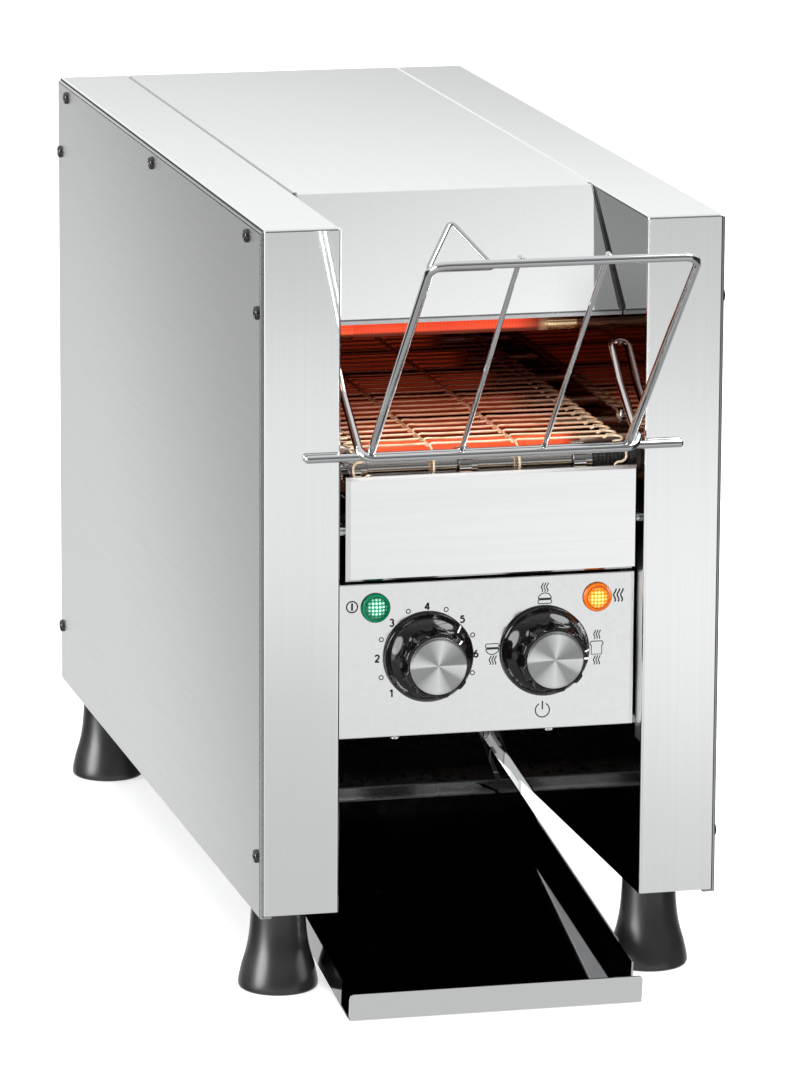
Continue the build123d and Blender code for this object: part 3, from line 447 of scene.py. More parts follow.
def cap_material(name, kx):
    """Spun aluminium disc: fine concentric turning marks, with the fans of light they would make painted into the base
    colour as bright and dark sectors.
    """
    g = Graph(name)
    x, y, z = g.xyz()
    dx = g.math("SUBTRACT", x, kx * MM)
    dz = g.math("SUBTRACT", z, 190.2 * MM)
    ang = g.math("ARCTAN2", dz, dx)
    r2 = g.math("ADD", g.math("MULTIPLY", dx, dx), g.math("MULTIPLY", dz, dz))
    rad = g.math("SQRT", r2)
    turn = g.rng(ang, -PI, PI, 0.0, 1.0)
    # painted highlight fans; stops measured round the disc from 9 o'clock, anticlockwise through 6, 3 and 12
    painted_fan_highlights = g.ramp(turn, [(0.0, 0.96), (0.015, 0.40), (0.10, 0.36), (0.165, 0.74), (0.25, 1.0),
                        (0.31, 0.66), (0.335, 0.38), (0.40, 0.40), (0.43, 0.80), (0.497, 1.0),
                        (0.505, 0.32), (0.56, 0.30), (0.64, 0.48), (0.72, 1.0), (0.775, 0.66),
                        (0.83, 0.38), (0.90, 0.36), (0.935, 0.66), (0.985, 1.0), (1.0, 0.96)])
    vec = g.n.new("ShaderNodeCombineXYZ")
    g.l.new(g.math("MULTIPLY", rad, 5200.0), vec.inputs[0])
    g.l.new(g.math("MULTIPLY", ang, 0.6), vec.inputs[1])
    rings = g.noise(vec.outputs[0], 1.0, 3.0, 0.6)
    col = g.mix(g.rng(rings, 0.3, 0.7, 0.0, 0.18), painted_fan_highlights, (0.95, 0.95, 0.95))
    tan = g.n.new("ShaderNodeTangent")
    tan.direction_type = "RADIAL"
    tan.axis = "Y"
    g.set(base=col, metal=1.0, rough=g.rng(rings, 0.3, 0.7, 0.22, 0.30), aniso=0.35,
          normal=g.bump(rings, 0.06, 0.00004))
    return g.m


def lens_material(name, cx, cz, ring, body, hot, spot, power, grid, off):
    """Moulded pilot lens: clear rim, a darker step and a waffle pattern behind the dome."""
    g = Graph(name)
    x, y, z = g.xyz()
    dx = g.math("SUBTRACT", x, cx * MM)
    dz = g.math("SUBTRACT", z, cz * MM)
    rad = g.math("SQRT", g.math("ADD", g.math("MULTIPLY", dx, dx), g.math("MULTIPLY", dz, dz)))
    ring_c = g.ramp(g.rng(rad, 0.0, 0.008, 0.0, 1.0),
                    [(0.0, body), (0.70, body), (0.76, tuple(c * 0.30 for c in ring)),
                     (0.82, ring), (0.90, tuple(min(1, c * 1.25) for c in ring)), (1.0, tuple(c * 0.5 for c in ring))])
    px = g.math("FRACT", g.math("MULTIPLY", x, 1000.0 / grid))
    pz = g.math("FRACT", g.math("MULTIPLY", z, 1000.0 / grid))
    ex = g.math("ABSOLUTE", g.math("SUBTRACT", px, 0.5))
    ez = g.math("ABSOLUTE", g.math("SUBTRACT", pz, 0.5))
    dots = g.rng(g.math("SQRT", g.math("ADD", g.math("MULTIPLY", ex, ex), g.math("MULTIPLY", ez, ez))),
                 0.26, 0.40, 1.0, 0.0, "SMOOTHSTEP")
    sx = g.math("SUBTRACT", dx, off[0] * MM)
    sz = g.math("SUBTRACT", dz, off[1] * MM)
    sr = g.math("SQRT", g.math("ADD", g.math("MULTIPLY", sx, sx), g.math("MULTIPLY", sz, sz)))
    near = g.rng(sr, 0.0026, 0.0060, 1.0, 0.10, "SMOOTHSTEP")
    inside = g.rng(rad, 0.0056, 0.0062, 1.0, 0.0)
    f = g.math("MULTIPLY", g.math("MULTIPLY", dots, near), inside)
    col = g.mix(g.math("MULTIPLY", near, inside), ring_c, hot)
    core = col
    col = g.mix(f, col, spot)
    g.set(base=g.mix(f, core, tuple(0.6 * c for c in spot)), rough=0.10, spec=0.35, coat=0.15, coat_rough=0.03,
          emit=col, power=g.math("MULTIPLY_ADD", f, 0.80, power),
          normal=g.bump(dots, 0.25, 0.0002))
    return g.m


MAT["lens_green"] = lens_material("lens_green", -61.2, 218.3, (0.0, 0.125, 0.055), (0.0, 0.07, 0.030),
                                  (0.0, 0.20, 0.095), (0.66, 1.0, 0.84), 0.11, 1.95, (0.2, 0.7))
MAT["lens_amber"] = lens_material("lens_amber", 61.2, 218.3, (0.50, 0.095, 0.003), (0.44, 0.085, 0.002),
                                  (0.74, 0.235, 0.005), (1.0, 0.80, 0.26), 0.20, 1.95, (-0.2, -0.3))


def glow(name, hot, edge, power, upper=False):
    """Quartz tube: a coiled element shows through it and dims towards the seals."""
    g = Graph(name)
    x, y, z = g.xyz()
    ax = g.math("ABSOLUTE", x)
    if upper:
        on = g.math("MULTIPLY", g.rng(x, 0.026, 0.046, 1.0, 0.02, "SMOOTHSTEP"), g.rng(z, 0.3566, 0.3578, 0.05, 1.0))
        on = g.math("MULTIPLY", on, g.rng(y, -0.13, -0.09, 1.0, 0.10))
    else:
        on = g.math("MULTIPLY", g.rng(ax, 0.049, 0.061, 1.0, 0.03, "SMOOTHSTEP"),
                    g.rng(y, -0.156, -0.112, 1.0, 0.09, "SMOOTHSTEP"))
    coil = g.math("SINE", g.math("MULTIPLY", x, 2 * PI / 0.0019))
    coil = g.rng(coil, -1.0, 1.0, 0.86, 1.0)
    n = g.noise(g.mapping((40, 400, 400)), 1.0, 3.0, 0.5)
    col = g.mix(g.rng(n, 0.35, 0.65, 0.0, 1.0), hot, edge)
    seal = g.rng(x, 0.040, 0.047, 0.0, 1.0) if upper else 0.0
    base = g.mix(seal, (0.10, 0.03, 0.02), (0.92, 0.66, 0.38)) if upper else (0.10, 0.03, 0.02)
    g.set(base=base, metal=seal, rough=0.12, spec=0.25, emit=col,
          power=g.math("MULTIPLY", g.math("MULTIPLY", on, coil), power),
          normal=g.bump(n, 0.03, 0.0002))
    return g.m


MAT["quartz_glow"] = glow("quartz_glow", (1.0, 0.085, 0.028), (0.90, 0.060, 0.018), 1.0, True)
MAT["quartz_glow_low"] = glow("quartz_glow_low", (1.0, 0.105, 0.030), (1.0, 0.075, 0.018), 1.15)


# ================================================================ mesh helpers
def add(name, verts, faces, body, mat, slot=None, replaces=(), angle=38.0, smooth=True):
    me = bpy.data.meshes.new(name)
    me.from_pydata([tuple(v) for v in verts], [], faces)
    me.validate()
    me.update()
    bm = bmesh.new()
    bm.from_mesh(me)
    bmesh.ops.recalc_face_normals(bm, faces=bm.faces)
    bm.to_mesh(me)
    bm.free()
    if smooth:
        me.shade_smooth()
        me.set_sharp_from_angle(angle=math.radians(angle))
    me.materials.append(mat)
    ob = bpy.data.objects.new(name, me)
    bpy.context.scene.collection.objects.link(ob)
    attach(ob, body)
    if replaces:
        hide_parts(*replaces)
    return ob


class Soup:
    """Collects several closed shells into one mesh."""
    def __init__(self):
        self.v, self.f = [], []

    def take(self, verts, faces):
        o = len(self.v)
        self.v.extend(verts)
        self.f.extend([[i + o for i in f] for f in faces])

    def make(self, *a, **k):
        return add(a[0], self.v, self.f, *a[1:], **k)


def tube(points, r, seg=16, closed=False, flat_ends=True, radii=None):
    """Round wire along the points, parallel-transported, with caps."""
    pts = [Vector(p) for p in points]
    n = len(pts)
    tang = []
    for i in range(n):
        if closed:
            t = pts[(i + 1) % n] - pts[i - 1]
        else:
            t = pts[min(i + 1, n - 1)] - pts[max(i - 1, 0)]
        tang.append(t.normalized())
    up = Vector((0, 0, 1)) if abs(tang[0].z) < 0.9 else Vector((1, 0, 0))
    nrm = (up - tang[0] * up.dot(tang[0])).normalized()
    verts, faces = [], []
    for i in range(n):
        if i:
            q = tang[i - 1].rotation_difference(tang[i])
            nrm = q @ nrm
            nrm = (nrm - tang[i] * nrm.dot(tang[i])).normalized()
        bi = tang[i].cross(nrm)
        rr = radii[i] if radii else r
        for k in range(seg):
            a = 2 * PI * k / seg
            verts.append(pts[i] + (nrm * math.cos(a) + bi * math.sin(a)) * rr)
    rings = n if closed else n - 1
    for i in range(rings):
        j = (i + 1) % n
        for k in range(seg):
            k2 = (k + 1) % seg
            faces.append([i * seg + k, i * seg + k2, j * seg + k2, j * seg + k])
    if not closed:
        faces.append([k for k in range(seg)][::-1])
        faces.append([(n - 1) * seg + k for k in range(seg)])
    return verts, faces


def rounded_rod(a, b, r, seg=20):
    """Straight rod whose ends are turned to a shallow dome."""
    a, b = Vector(a), Vector(b)
    ax = (b - a).normalized()
    pts, rad = [], []
    steps = [(0.0, 0.30), (0.10, 0.62), (0.28, 0.84), (0.55, 0.97), (0.9, 1.0)]
    for s, k in steps:
        pts.append(a + ax * (s * r))
        rad.append(r * k)
    pts.append((a + b) / 2)
    rad.append(r)
    for s, k in reversed(steps):
        pts.append(b - ax * (s * r))
        rad.append(r * k)
    return tube(pts, r, seg, radii=rad)


def fillet_path(points, radii, n=10):
    """Polyline with circular arcs at its inner corners; points are Vectors."""
    out = [points[0]]
    for i in range(1, len(points) - 1):
        p, a, b = points[i], points[i - 1], points[i + 1]
        u, v = (a - p).normalized(), (b - p).normalized()
        ang = u.angle(v)
        r = radii[i - 1]
        cut = r / math.tan(ang / 2)
        s, e = p + u * cut, p + v * cut
        c = p + (u + v).normalized() * (r / math.sin(ang / 2))
        ax = (s - c).cross(e - c).normalized()
        sweep = PI - ang
        for k in range(n + 1):
            q = Matrix.Rotation(sweep * k / n, 3, ax)
            out.append(c + q @ (s - c))
    out.append(points[-1])
    return out


def lathe(profile, origin, axis, seg=96):
    """Revolves (radius, offset along the axis) in mm about origin; closed if it ends on the axis."""
    ax = Vector(axis).normalized()
    u = ax.orthogonal().normalized()
    w = ax.cross(u)
    verts, faces, rings = [], [], []
    for r, h in profile:
        if r < 1e-6:
            verts.append(origin + ax * (h * MM))
            rings.append([len(verts) - 1])
        else:
            ring = []
            for k in range(seg):
                a = 2 * PI * k / seg
                verts.append(origin + ax * (h * MM) + (u * math.cos(a) + w * math.sin(a)) * (r * MM))
                ring.append(len(verts) - 1)
            rings.append(ring)
    for A, B in zip(rings, rings[1:]):
        for k in range(seg):
            k2 = (k + 1) % seg
            if len(A) == 1 and len(B) == 1:
                continue
            if len(A) == 1:
                faces.append([A[0], B[k], B[k2]])
            elif len(B) == 1:
                faces.append([A[k], B[0], A[k2]])
            else:
                faces.append([A[k], B[k], B[k2], A[k2]])
    return verts, faces


# ============================================================ rubber feet
def make_feet():
    s = Soup()
    prof = [(0, 12.0), (5.5, 12.0), (5.5, 0.5), (6.0, 0.0), (19.2, 0.0), (20.3, 0.25), (21.2, 0.9),
            (21.7, 1.8), (21.8, 2.8), (21.7, 4.2), (21.35, 6.6), (20.6, 9.8), (19.9, 12.9),
            (18.75, 16.6), (17.7, 20.2), (16.85, 23.9), (16.2, 27.6), (15.6, 32.0), (15.2, 36.6),
            (14.9, 42.0), (14.7, 47.2), (14.6, 53.4), (14.3, 54.6), (13.6, 54.98), (0, 54.98)]
    for sx in (-1, 1):
        for d in (54.0, 523.0):
            s.take(*lathe(prof, P(sx * 104.5, d, 0), (0, 0, 1), 96))
    s.make("rubber_feet_moulded", ROOT, MAT["foot_rubber"], slot="foot_rubber",
           replaces=("rubber_feet",), angle=50)


# ================================================================ screws
def head(origin, axis, r, h, spin, rings=15, seg=72):
    """Pan head with a cross recess as real geometry; origin on the seat, mm sizes."""
    slot_w, slot_l, depth = 0.17 * r, 0.66 * r, 0.36 * r
    ax = Vector(axis).normalized()
    u = ax.orthogonal().normalized()
    w = ax.cross(u)
    cs, sn = math.cos(spin), math.sin(spin)
    verts, faces = [], []

    def top(px, py):
        q = math.hypot(px, py) / r
        dome = h * (1.0 - 0.16 * q * q)
        if q > 0.72:
            t = (q - 0.72) / 0.28
            dome = h * (1.0 - 0.16 * q * q) - h * 0.52 * (1 - math.sqrt(max(0.0, 1 - t * t)))
        a, b = abs(px * cs + py * sn), abs(-px * sn + py * cs)
        arm = min(max(a / slot_l, b / slot_w), max(b / slot_l, a / slot_w))
        cut = depth * max(0.0, min(1.0, (1.12 - arm) / 0.24))
        cut *= 1.0 - 0.35 * min(1.0, math.hypot(px, py) / slot_l)
        return dome - cut

    grid = []
    for i in range(rings + 1):
        q = (i / rings) ** 0.85
        ring = []
        for k in range(seg):
            a = 2 * PI * k / seg
            px, py = q * r * math.cos(a), q * r * math.sin(a)
            if i == 0:
                px = py = 0.0
            hh = top(px, py)
            verts.append(origin + (u * px + w * py + ax * hh) * MM)
            ring.append(len(verts) - 1)
            if i == 0:
                break
        grid.append(ring)
    base = []
    for k in range(seg):
        a = 2 * PI * k / seg
        verts.append(origin + (u * (r * math.cos(a)) + w * (r * math.sin(a))) * MM)
        base.append(len(verts) - 1)
    for i in range(rings):
        A, B = grid[i], grid[i + 1]
        for k in range(seg):
            k2 = (k + 1) % seg
            if len(A) == 1:
                faces.append([A[0], B[k], B[k2]])
            else:
                faces.append([A[k], B[k], B[k2], A[k2]])
    A = grid[-1]
    for k in range(seg):
        k2 = (k + 1) % seg
        faces.append([A[k], base[k], base[k2], A[k2]])
    faces.append(base[::-1])
    return verts, faces


SIDE_SCREWS = [(530.8, 417.6), (279.9, 417.6), (33.9, 417.6), (8.6, 380.8),
               (8.7, 86.4), (550.9, 382.1), (552.6, 87.6)]


def make_screws():
    rnd = random.Random(11)
    s = Soup()

    def screw(o, ax, r, h, shank):
        s.take(*head(o, ax, r, h, rnd.uniform(0, PI / 2)))
        a = Vector(ax)
        s.take(*tube([o - a * 0.02 * MM, o - a * (shank * 0.5 * MM), o - a * (shank * MM)], 1.5 * MM, 12))

    for sx in (-1, 1):
        for d, z in SIDE_SCREWS:
            screw(P(sx * 126.5, d, z), (sx, 0, 0), 3.7, 2.0, 4.5)
        screw(P(sx * 43.0, 42.0, 140.8), (0, 0, -1), 3.0, 2.8, 12.0)
        screw(P(sx * 94.0, 272.0, 53.5), (0, 0, -1), 3.0, 2.0, 6.0)
        for z in (80.0, 240.0, 405.0):
            screw(P(sx * 90.0, 561.0, z), (0, 1, 0), 3.0, 2.0, 4.5)
    s.make("casing_screw_set", ROOT, MAT["screw_steel"], slot="screw_steel",
           replaces=("casing_screws",), angle=34)


# ================================================================ knobs
def scallop(t):
    """Outline radius of the nine-lobed grip at angle t, mm."""
    step = 2 * PI / 9
    ph = (t - math.radians(20) + step / 2) % step - step / 2
    c = 21.6 * math.sin(ph)
    if abs(c) < 5.2:
        rho = 21.6 * math.cos(ph) - math.sqrt(5.2 ** 2 - c * c)
    else:
        rho = 21.6 * math.cos(ph)
    k = 0.9
    a, b = rho, 18.4
    hh = max(k - abs(a - b), 0.0) / k
    return min(a, b) - hh * hh * k * 0.25


def skirt_profile():
    """Arc of the glossy skirt from the rim to the foot of the grip, (radius, depth)."""
    a, b, c = Vector((24.35, 9.0)), Vector((22.1, 5.9)), Vector((18.0, 2.5))
    ab, ac = b - a, c - a
    D = 2 * (ab.x * ac.y - ab.y * ac.x)
    ux = (ac.y * ab.length_squared - ab.y * ac.length_squared) / D
    uy = (ab.x * ac.length_squared - ac.x * ab.length_squared) / D
    cen = a + Vector((ux, uy))
    r = (a - cen).length
    a0 = math.atan2(a.y - cen.y, a.x - cen.x)
    a1 = math.atan2(c.y - cen.y, c.x - cen.x)
    return [(cen.x + r * math.cos(a0 + (a1 - a0) * k / 8), cen.y + r * math.sin(a0 + (a1 - a0) * k / 8))
            for k in range(9)]


SKIRT = skirt_profile()


def make_knob(name, kx, body, pointer, node, cap_node):
    seg = 252
    kz = 190.2
    rows = [[(12.0, 5.0)], [(12.0, 11.0)], [(12.3, 11.2)], [(23.75, 11.2)], [(24.2, 11.0)], [(24.35, 10.6)]]
    rows += [[p] for p in SKIRT]
    rings = []
    verts, faces = [], []

    def ring(fn):
        out = []
        for k in range(seg):
            t = 2 * PI * k / seg
            r, d = fn(t)
            verts.append(P(kx + r * math.cos(t), d, kz + r * math.sin(t)))
            out.append(len(verts) - 1)
        rings.append(out)

    verts.append(P(kx, 5.0, kz))
    rings.append([0])
    for row in rows:
        ring(lambda t, q=row[0]: q)
    # foot of the grip blends out of the skirt
    for dr, d in ((0.55, 1.9), (0.18, 1.2), (0.05, 0.3)):
        ring(lambda t, dr=dr, d=d: (min(scallop(t) + dr, 18.1 + dr * 0.3), d))
    for d in (-2.5, -6.0, -8.8):
        ring(lambda t, d=d: (scallop(t) + 0.012 * d, d))

    def edge(t, q):
        R = scallop(t) - 0.11
        e = max(0.35, min(1.25, R - 15.9))
        return (R - e + e * math.cos(q), -11.0 + e - e * math.sin(q))

    for q in (0.0, 0.25, 0.5, 0.75, 1.0):
        ring(lambda t, q=q: edge(t, q * PI / 2))
    ring(lambda t: (15.75, -11.0))
    ring(lambda t: (15.65, -10.92))
    ring(lambda t: (15.65, -10.2))
    verts.append(P(kx, -10.2, kz))
    rings.append([len(verts) - 1])
    for A, B in zip(rings, rings[1:]):
        for k in range(seg):
            k2 = (k + 1) % seg
            if len(A) == 1:
                faces.append([A[0], B[k], B[k2]])
            elif len(B) == 1:
                faces.append([A[k], B[0], A[k2]])
            else:
                faces.append([A[k], B[k], B[k2], A[k2]])
    add(name, verts, faces, body, MAT["black_plastic"], slot="black_plastic", replaces=(node,), angle=42)

    s = Soup()
    s.take(*lathe([(0, 0.15), (15.3, 0.15), (15.58, 0.35), (15.6, 0.9), (15.55, 1.18), (15.35, 1.3),
                   (13.5, 1.27), (9.0, 1.24), (4.0, 1.22), (0, 1.21)],
                  P(kx, -9.9, kz), (0, -1, 0), 144))
    s.make(name + "_disc", body, cap_material(name + "_spun", kx), slot="knob_cap",
           replaces=(cap_node,), angle=40)

    # pointer: one dash on the grip's face, one down the skirt
    s = Soup()
    c, q = math.cos(pointer), math.sin(pointer)

    def at(r, side, d):
        return P(kx + r * c - side * q, d, kz + r * q + side * c)

    def dash(path, half):
        v, f = [], []
        for r, d, nr, nd in path:
            for side in (-half, half):
                v.append(at(r + nr * 0.05, side, d + nd * 0.05))
        for r, d, nr, nd in path:
            for side in (-half, half):
                v.append(at(r - nr * 0.06, side, d - nd * 0.06))
        n = len(path)
        for i in range(n - 1):
            a = 2 * i
            f.append([a, a + 1, a + 3, a + 2])
            b = 2 * n + a
            f.append([b, b + 2, b + 3, b + 1])
            f.append([a, a + 2, b + 2, b])
            f.append([a + 1, b + 1, b + 3, a + 3])
        f.append([0, 2 * n, 2 * n + 1, 1])
        e = 2 * (n - 1)
        f.append([e, e + 1, 2 * n + e + 1, 2 * n + e])
        s.take(v, f)

    R = scallop(pointer)
    dash([(15.95, -11.0, 0, -1), (R - 1.3, -11.0, 0, -1), (R - 0.55, -10.78, 0.4, -0.9),
          (R - 0.16, -10.2, 0.9, -0.4)], 0.42)
    pts = SKIRT[1:7]
    path = []
    for i, (r, d) in enumerate(pts):
        a, b = SKIRT[i], SKIRT[i + 2]
        n = Vector((-(b[1] - a[1]), b[0] - a[0])).normalized()
        if n.x < 0:
            n = -n
        path.append((r, d, n.x, n.y))
    dash(path, 0.42)
    s.make(name + "_pointer", body, MAT["white_mark"], slot="pale_plastic", smooth=False)


# ================================================================ legends
FACE = 11.985
SYM = Soup()
SYM_THIN = Soup()


def ribbon(soup, pts, width, closed=False, d0=12.0, t=0.05):
    """Printed stroke as a thin raised ribbon on the control panel; pts are (x, z) in mm."""
    n = len(pts)
    L, R = [], []
    for i in range(n):
        if closed:
            a, b = pts[i - 1], pts[(i + 1) % n]
        else:
            a, b = pts[max(i - 1, 0)], pts[min(i + 1, n - 1)]
        tx, tz = b[0] - a[0], b[1] - a[1]
        m = math.hypot(tx, tz) or 1.0
        nx, nz = -tz / m * width / 2, tx / m * width / 2
        L.append((pts[i][0] + nx, pts[i][1] + nz))
        R.append((pts[i][0] - nx, pts[i][1] - nz))
    v, f = [], []
    for d in (d0 - t, d0 + 0.02):
        for q in L:
            v.append(P(q[0], d, q[1]))
        for q in R:
            v.append(P(q[0], d, q[1]))
    last = n if closed else n - 1
    for i in range(last):
        j = (i + 1) % n
        f.append([i, j, n + j, n + i])
        f.append([2 * n + i, 3 * n + i, 3 * n + j, 2 * n + j])
        f.append([i, 2 * n + i, 2 * n + j, j])
        f.append([n + i, n + j, 3 * n + j, 3 * n + i])
    if not closed:
        f.append([0, n, 3 * n, 2 * n])
        e = n - 1
        f.append([e, 2 * n + e, 3 * n + e, n + e])
    soup.take(v, f)


def arc(cx, cz, r, a0, a1, n=28, rz=None):
    rz = rz or r
    return [(cx + r * math.cos(math.radians(a0 + (a1 - a0) * k / n)),
             cz + rz * math.sin(math.radians(a0 + (a1 - a0) * k / n))) for k in range(n + 1)]


def wave(cx, cz, h, amp, w, soup):
    """One rising heat wave."""
    pts = []
    for k in range(25):
        t = k / 24
        pts.append((cx + amp * math.sin(t * 2.6 * PI + 0.3) + (0.5 - t) * -0.25 * h * 0.22, cz + (t - 0.5) * h))
    ribbon(soup, pts, w)


def waves(cx, cz, h=5.2, gap=1.5, amp=0.42, w=0.42, soup=None):
    soup = soup or SYM
    for k in (-1, 0, 1):
        wave(cx + k * gap, cz, h, amp, w, soup)


def bun(cx, cz, up=True, w=0.50):
    """Burger bun outline: domed half and flat half."""
    sgn = 1 if up else -1
    dome = [(cx + p[0], cz + sgn * p[1]) for p in arc(0, 0.25, 3.55, 0, 180, 26, rz=2.9)]
    ribbon(SYM_THIN, dome, w)
    ribbon(SYM_THIN, [(cx - 3.75, cz + sgn * 0.1), (cx + 3.75, cz + sgn * 0.1)], w * 1.5)
    h = 2.1
    flat = [(cx - 3.2, cz - sgn * 0.55), (cx + 3.2, cz - sgn * 0.55)]
    box = []
    for k in range(9):
        a = math.radians(90 - 180 * k / 8)
        box.append((cx + 2.85 + 0.95 * math.cos(a), cz - sgn * (0.55 + h / 2 - h / 2 * math.sin(a))))
    for k in range(9):
        a = math.radians(-90 - 180 * k / 8)
        box.append((cx - 2.85 + 0.95 * math.cos(a), cz - sgn * (0.55 + h / 2 - h / 2 * math.sin(a))))
    ribbon(SYM_THIN, box, w, closed=True)


def slice_outline(cx, cz, w=0.50):
    """Slice of bread: straight sides and a swollen top."""
    pts = [(cx - 2.9, cz - 3.7), (cx - 2.9, cz + 1.3)]
    pts += arc(cx - 2.45, cz + 2.35, 1.15, 235, 90, 8)
    pts += [(cx + 2.45, cz + 3.5)]
    pts += arc(cx + 2.45, cz + 2.35, 1.15, 90, -55, 8)
    pts += [(cx + 2.9, cz + 1.3), (cx + 2.9, cz - 3.7)]
    ribbon(SYM_THIN, pts, w, closed=True)


def make_legends():
    kx, kz = -32.75, 190.3
    w = 0.92
    strokes = {
        "1": [[(-0.80, 1.05), (0.30, 1.95)], [(0.22, 2.0), (0.22, -2.0)]],
        "2": [arc(-0.02, 0.92, 1.05, 165, -35, 16) + [(-1.0, -1.70)], [(-1.15, -1.70), (1.20, -1.70)]],
        "3": [arc(-0.12, 0.88, 0.92, 150, -85, 16), arc(-0.12, -0.86, 1.05, 85, -150, 18)],
        "4": [[(0.55, 2.0), (0.55, -2.0)], [(0.40, 1.85), (-1.20, -0.85)], [(-1.35, -0.85), (1.25, -0.85)]],
        "5": [[(1.0, 1.70), (-0.85, 1.70)], [(-0.68, 1.75), (-0.80, 0.20)], arc(-0.12, -0.58, 1.15, 128, -145, 20)],
        "6": [arc(0.0, -0.72, 1.05, 0, 350, 26), [(0.70, 1.90), (0.0, 1.45), (-0.62, 0.75), (-0.96, 0.0), (-1.05, -0.72)]],
    }
    for n, a in zip("123456", (225, 180, 135, 90, 45, 0)):
        a = math.radians(a)
        r = 27.0 if n == "6" else 27.4
        x, z = kx + r * math.cos(a), kz + r * math.sin(a)
        for line in strokes[n]:
            ribbon(SYM, [(x + q[0], z + q[1]) for q in line], w, closed=(n == "6" and len(line) > 20))
    for a in (202.5, 157.5, 112.5, 67.5, 22.5, -22.5):
        a = math.radians(a)
        x, z = kx + 27.2 * math.cos(a), kz + 27.2 * math.sin(a)
        ribbon(SYM_THIN, arc(x, z, 1.12, 0, 345, 23), 0.52, closed=True)
    # on: bar in a circle
    ribbon(SYM, arc(-74.0, 219.3, 3.0, 0, 350, 35), 0.72, closed=True)
    ribbon(SYM, [(-74.0, 217.3), (-74.0, 221.3)], 1.05)
    # selector positions
    waves(32.0, 224.9, 5.0, 1.45, 0.40, 0.58)
    bun(32.1, 218.6, True)
    bun(3.3, 192.6, False)
    waves(3.5, 186.3, 5.0, 1.45, 0.40, 0.58)
    waves(61.3, 197.5, 5.0, 1.35, 0.38, 0.56)
    slice_outline(61.2, 190.3)
    waves(61.3, 183.4, 5.0, 1.35, 0.38, 0.56)
    # stand-by
    ribbon(SYM, arc(31.4, 157.3, 3.9, 118, 422, 40), 0.62)
    ribbon(SYM, [(31.4, 157.6), (31.4, 162.3)], 0.72)
    waves(72.9, 218.6, 7.2, 1.95, 0.55, 0.80)
    SYM.make("panel_legends", ROOT, MAT["ink"], slot="black_plastic", smooth=False)
    SYM_THIN.make("panel_legends_fine", ROOT, MAT["ink_light"], slot="black_plastic", smooth=False)


# ================================================================ lenses
def make_lenses():
    R = (8.0 ** 2 + 2.6 ** 2) / (2 * 2.6)
    for name, lx, mat, slot in (("power_lamp_lens", -61.2, "lens_green", "lens_green"),
                                ("heat_lamp_lens", 61.2, "lens_amber", "lens_amber")):
        prof = [(0, 0.0), (7.7, 0.0), (7.95, 0.15), (8.0, 0.5), (8.0, 1.1)]
        for k in range(1, 15):
            a = math.asin(8.0 / R) * (1 - k / 14)
            prof.append((max(R * math.sin(a), 0.0), 1.3 + R * math.cos(a) - (R - 2.6)))
        prof[-1] = (0, 3.9)
        s = Soup()
        s.take(*lathe(prof, P(lx, 12.0, 218.3), (0, -1, 0), 96))
        s.make(name + "_dome", ROOT, MAT[mat], slot=slot, replaces=(name,), angle=50)


# ================================================================ infeed rack
def blob(s, c, r, seed, squash=(1, 1, 1)):
    """Small uneven weld bead."""
    bm = bmesh.new()
    bmesh.ops.create_icosphere(bm, subdivisions=3, radius=1.0)
    for v in bm.verts:
        k = 1.0 + 0.20 * noise.noise(v.co * 2.1 + Vector((seed, seed * 0.7, 0)))
        v.co = Vector((v.co.x * squash[0], v.co.y * squash[1], v.co.z * squash[2])) * k
    bm.verts.index_update()
    verts = [c + v.co * (r * MM) for v in bm.verts]
    faces = [[v.index for v in f.verts] for f in bm.faces]
    bm.free()
    s.take(verts, faces)


def make_rack():
    X = 2.3
    r, rb = 2.3 * MM, 1.4 * MM
    s = Soup()
    arm = [P(90, 53.5, 349.2), P(X + 76.3, 53.5, 349.2), P(X + 76.3, 33.0, 329.8), P(X + 76.3, -7.0, 303.5),
           P(X - 76.3, -7.0, 303.5), P(X - 76.3, 33.0, 329.8), P(X - 76.3, 53.5, 349.2), P(-90, 53.5, 349.2)]
    s.take(*tube(fillet_path(arm, [x * MM for x in (4.5, 30, 8, 8, 30, 4.5)], 14), r, 24))
    leg = [P(X - 70.5, -4.5, 305.6), P(X - 70.5, -131, 427.5), P(X + 70.5, -131, 427.5), P(X + 70.5, -4.5, 305.6)]
    s.take(*tube(fillet_path(leg, [8 * MM] * 2, 14), r, 24))
    s.take(*rounded_rod(P(-103.4, -2.4, 303.6), P(103.6, -2.4, 303.6), r, 28))
    for x0, x1 in ((-18.3, -21.0), (26.8, 25.2)):
        p, q = P(x0, -2.6, 305.2), P(x1, -128.4, 430.3)
        s.take(*tube([p, p.lerp(q, 0.5), q], rb, 18))
    s.make("infeed_rack_wires", "rack", MAT["wire_steel"], slot="wire_steel",
           replaces=("infeed_rack",), angle=40)
    w = Soup()
    blob(w, P(X - 70.5, -4.6, 306.4), 2.5, 1.0, (0.95, 0.8, 0.9))
    blob(w, P(X + 70.5, -4.6, 306.4), 2.5, 2.0, (0.95, 0.8, 0.9))
    blob(w, P(X - 72.4, -4.3, 304.4), 1.7, 3.0, (1.2, 0.8, 0.9))
    blob(w, P(X + 72.4, -4.3, 304.4), 1.7, 4.0, (1.2, 0.8, 0.9))
    for i, x in enumerate((-18.3, 26.8)):
        blob(w, P(x, -3.0, 305.8), 1.75, 5.0 + i, (1.25, 0.8, 0.75))
    for i, x in enumerate((-20.9, 25.3)):
        blob(w, P(x, -130.0, 429.4), 1.5, 8.0 + i, (1.3, 0.7, 0.75))
    w.make("rack_weld_beads", "rack", MAT["weld"], slot="wire_steel", angle=60)


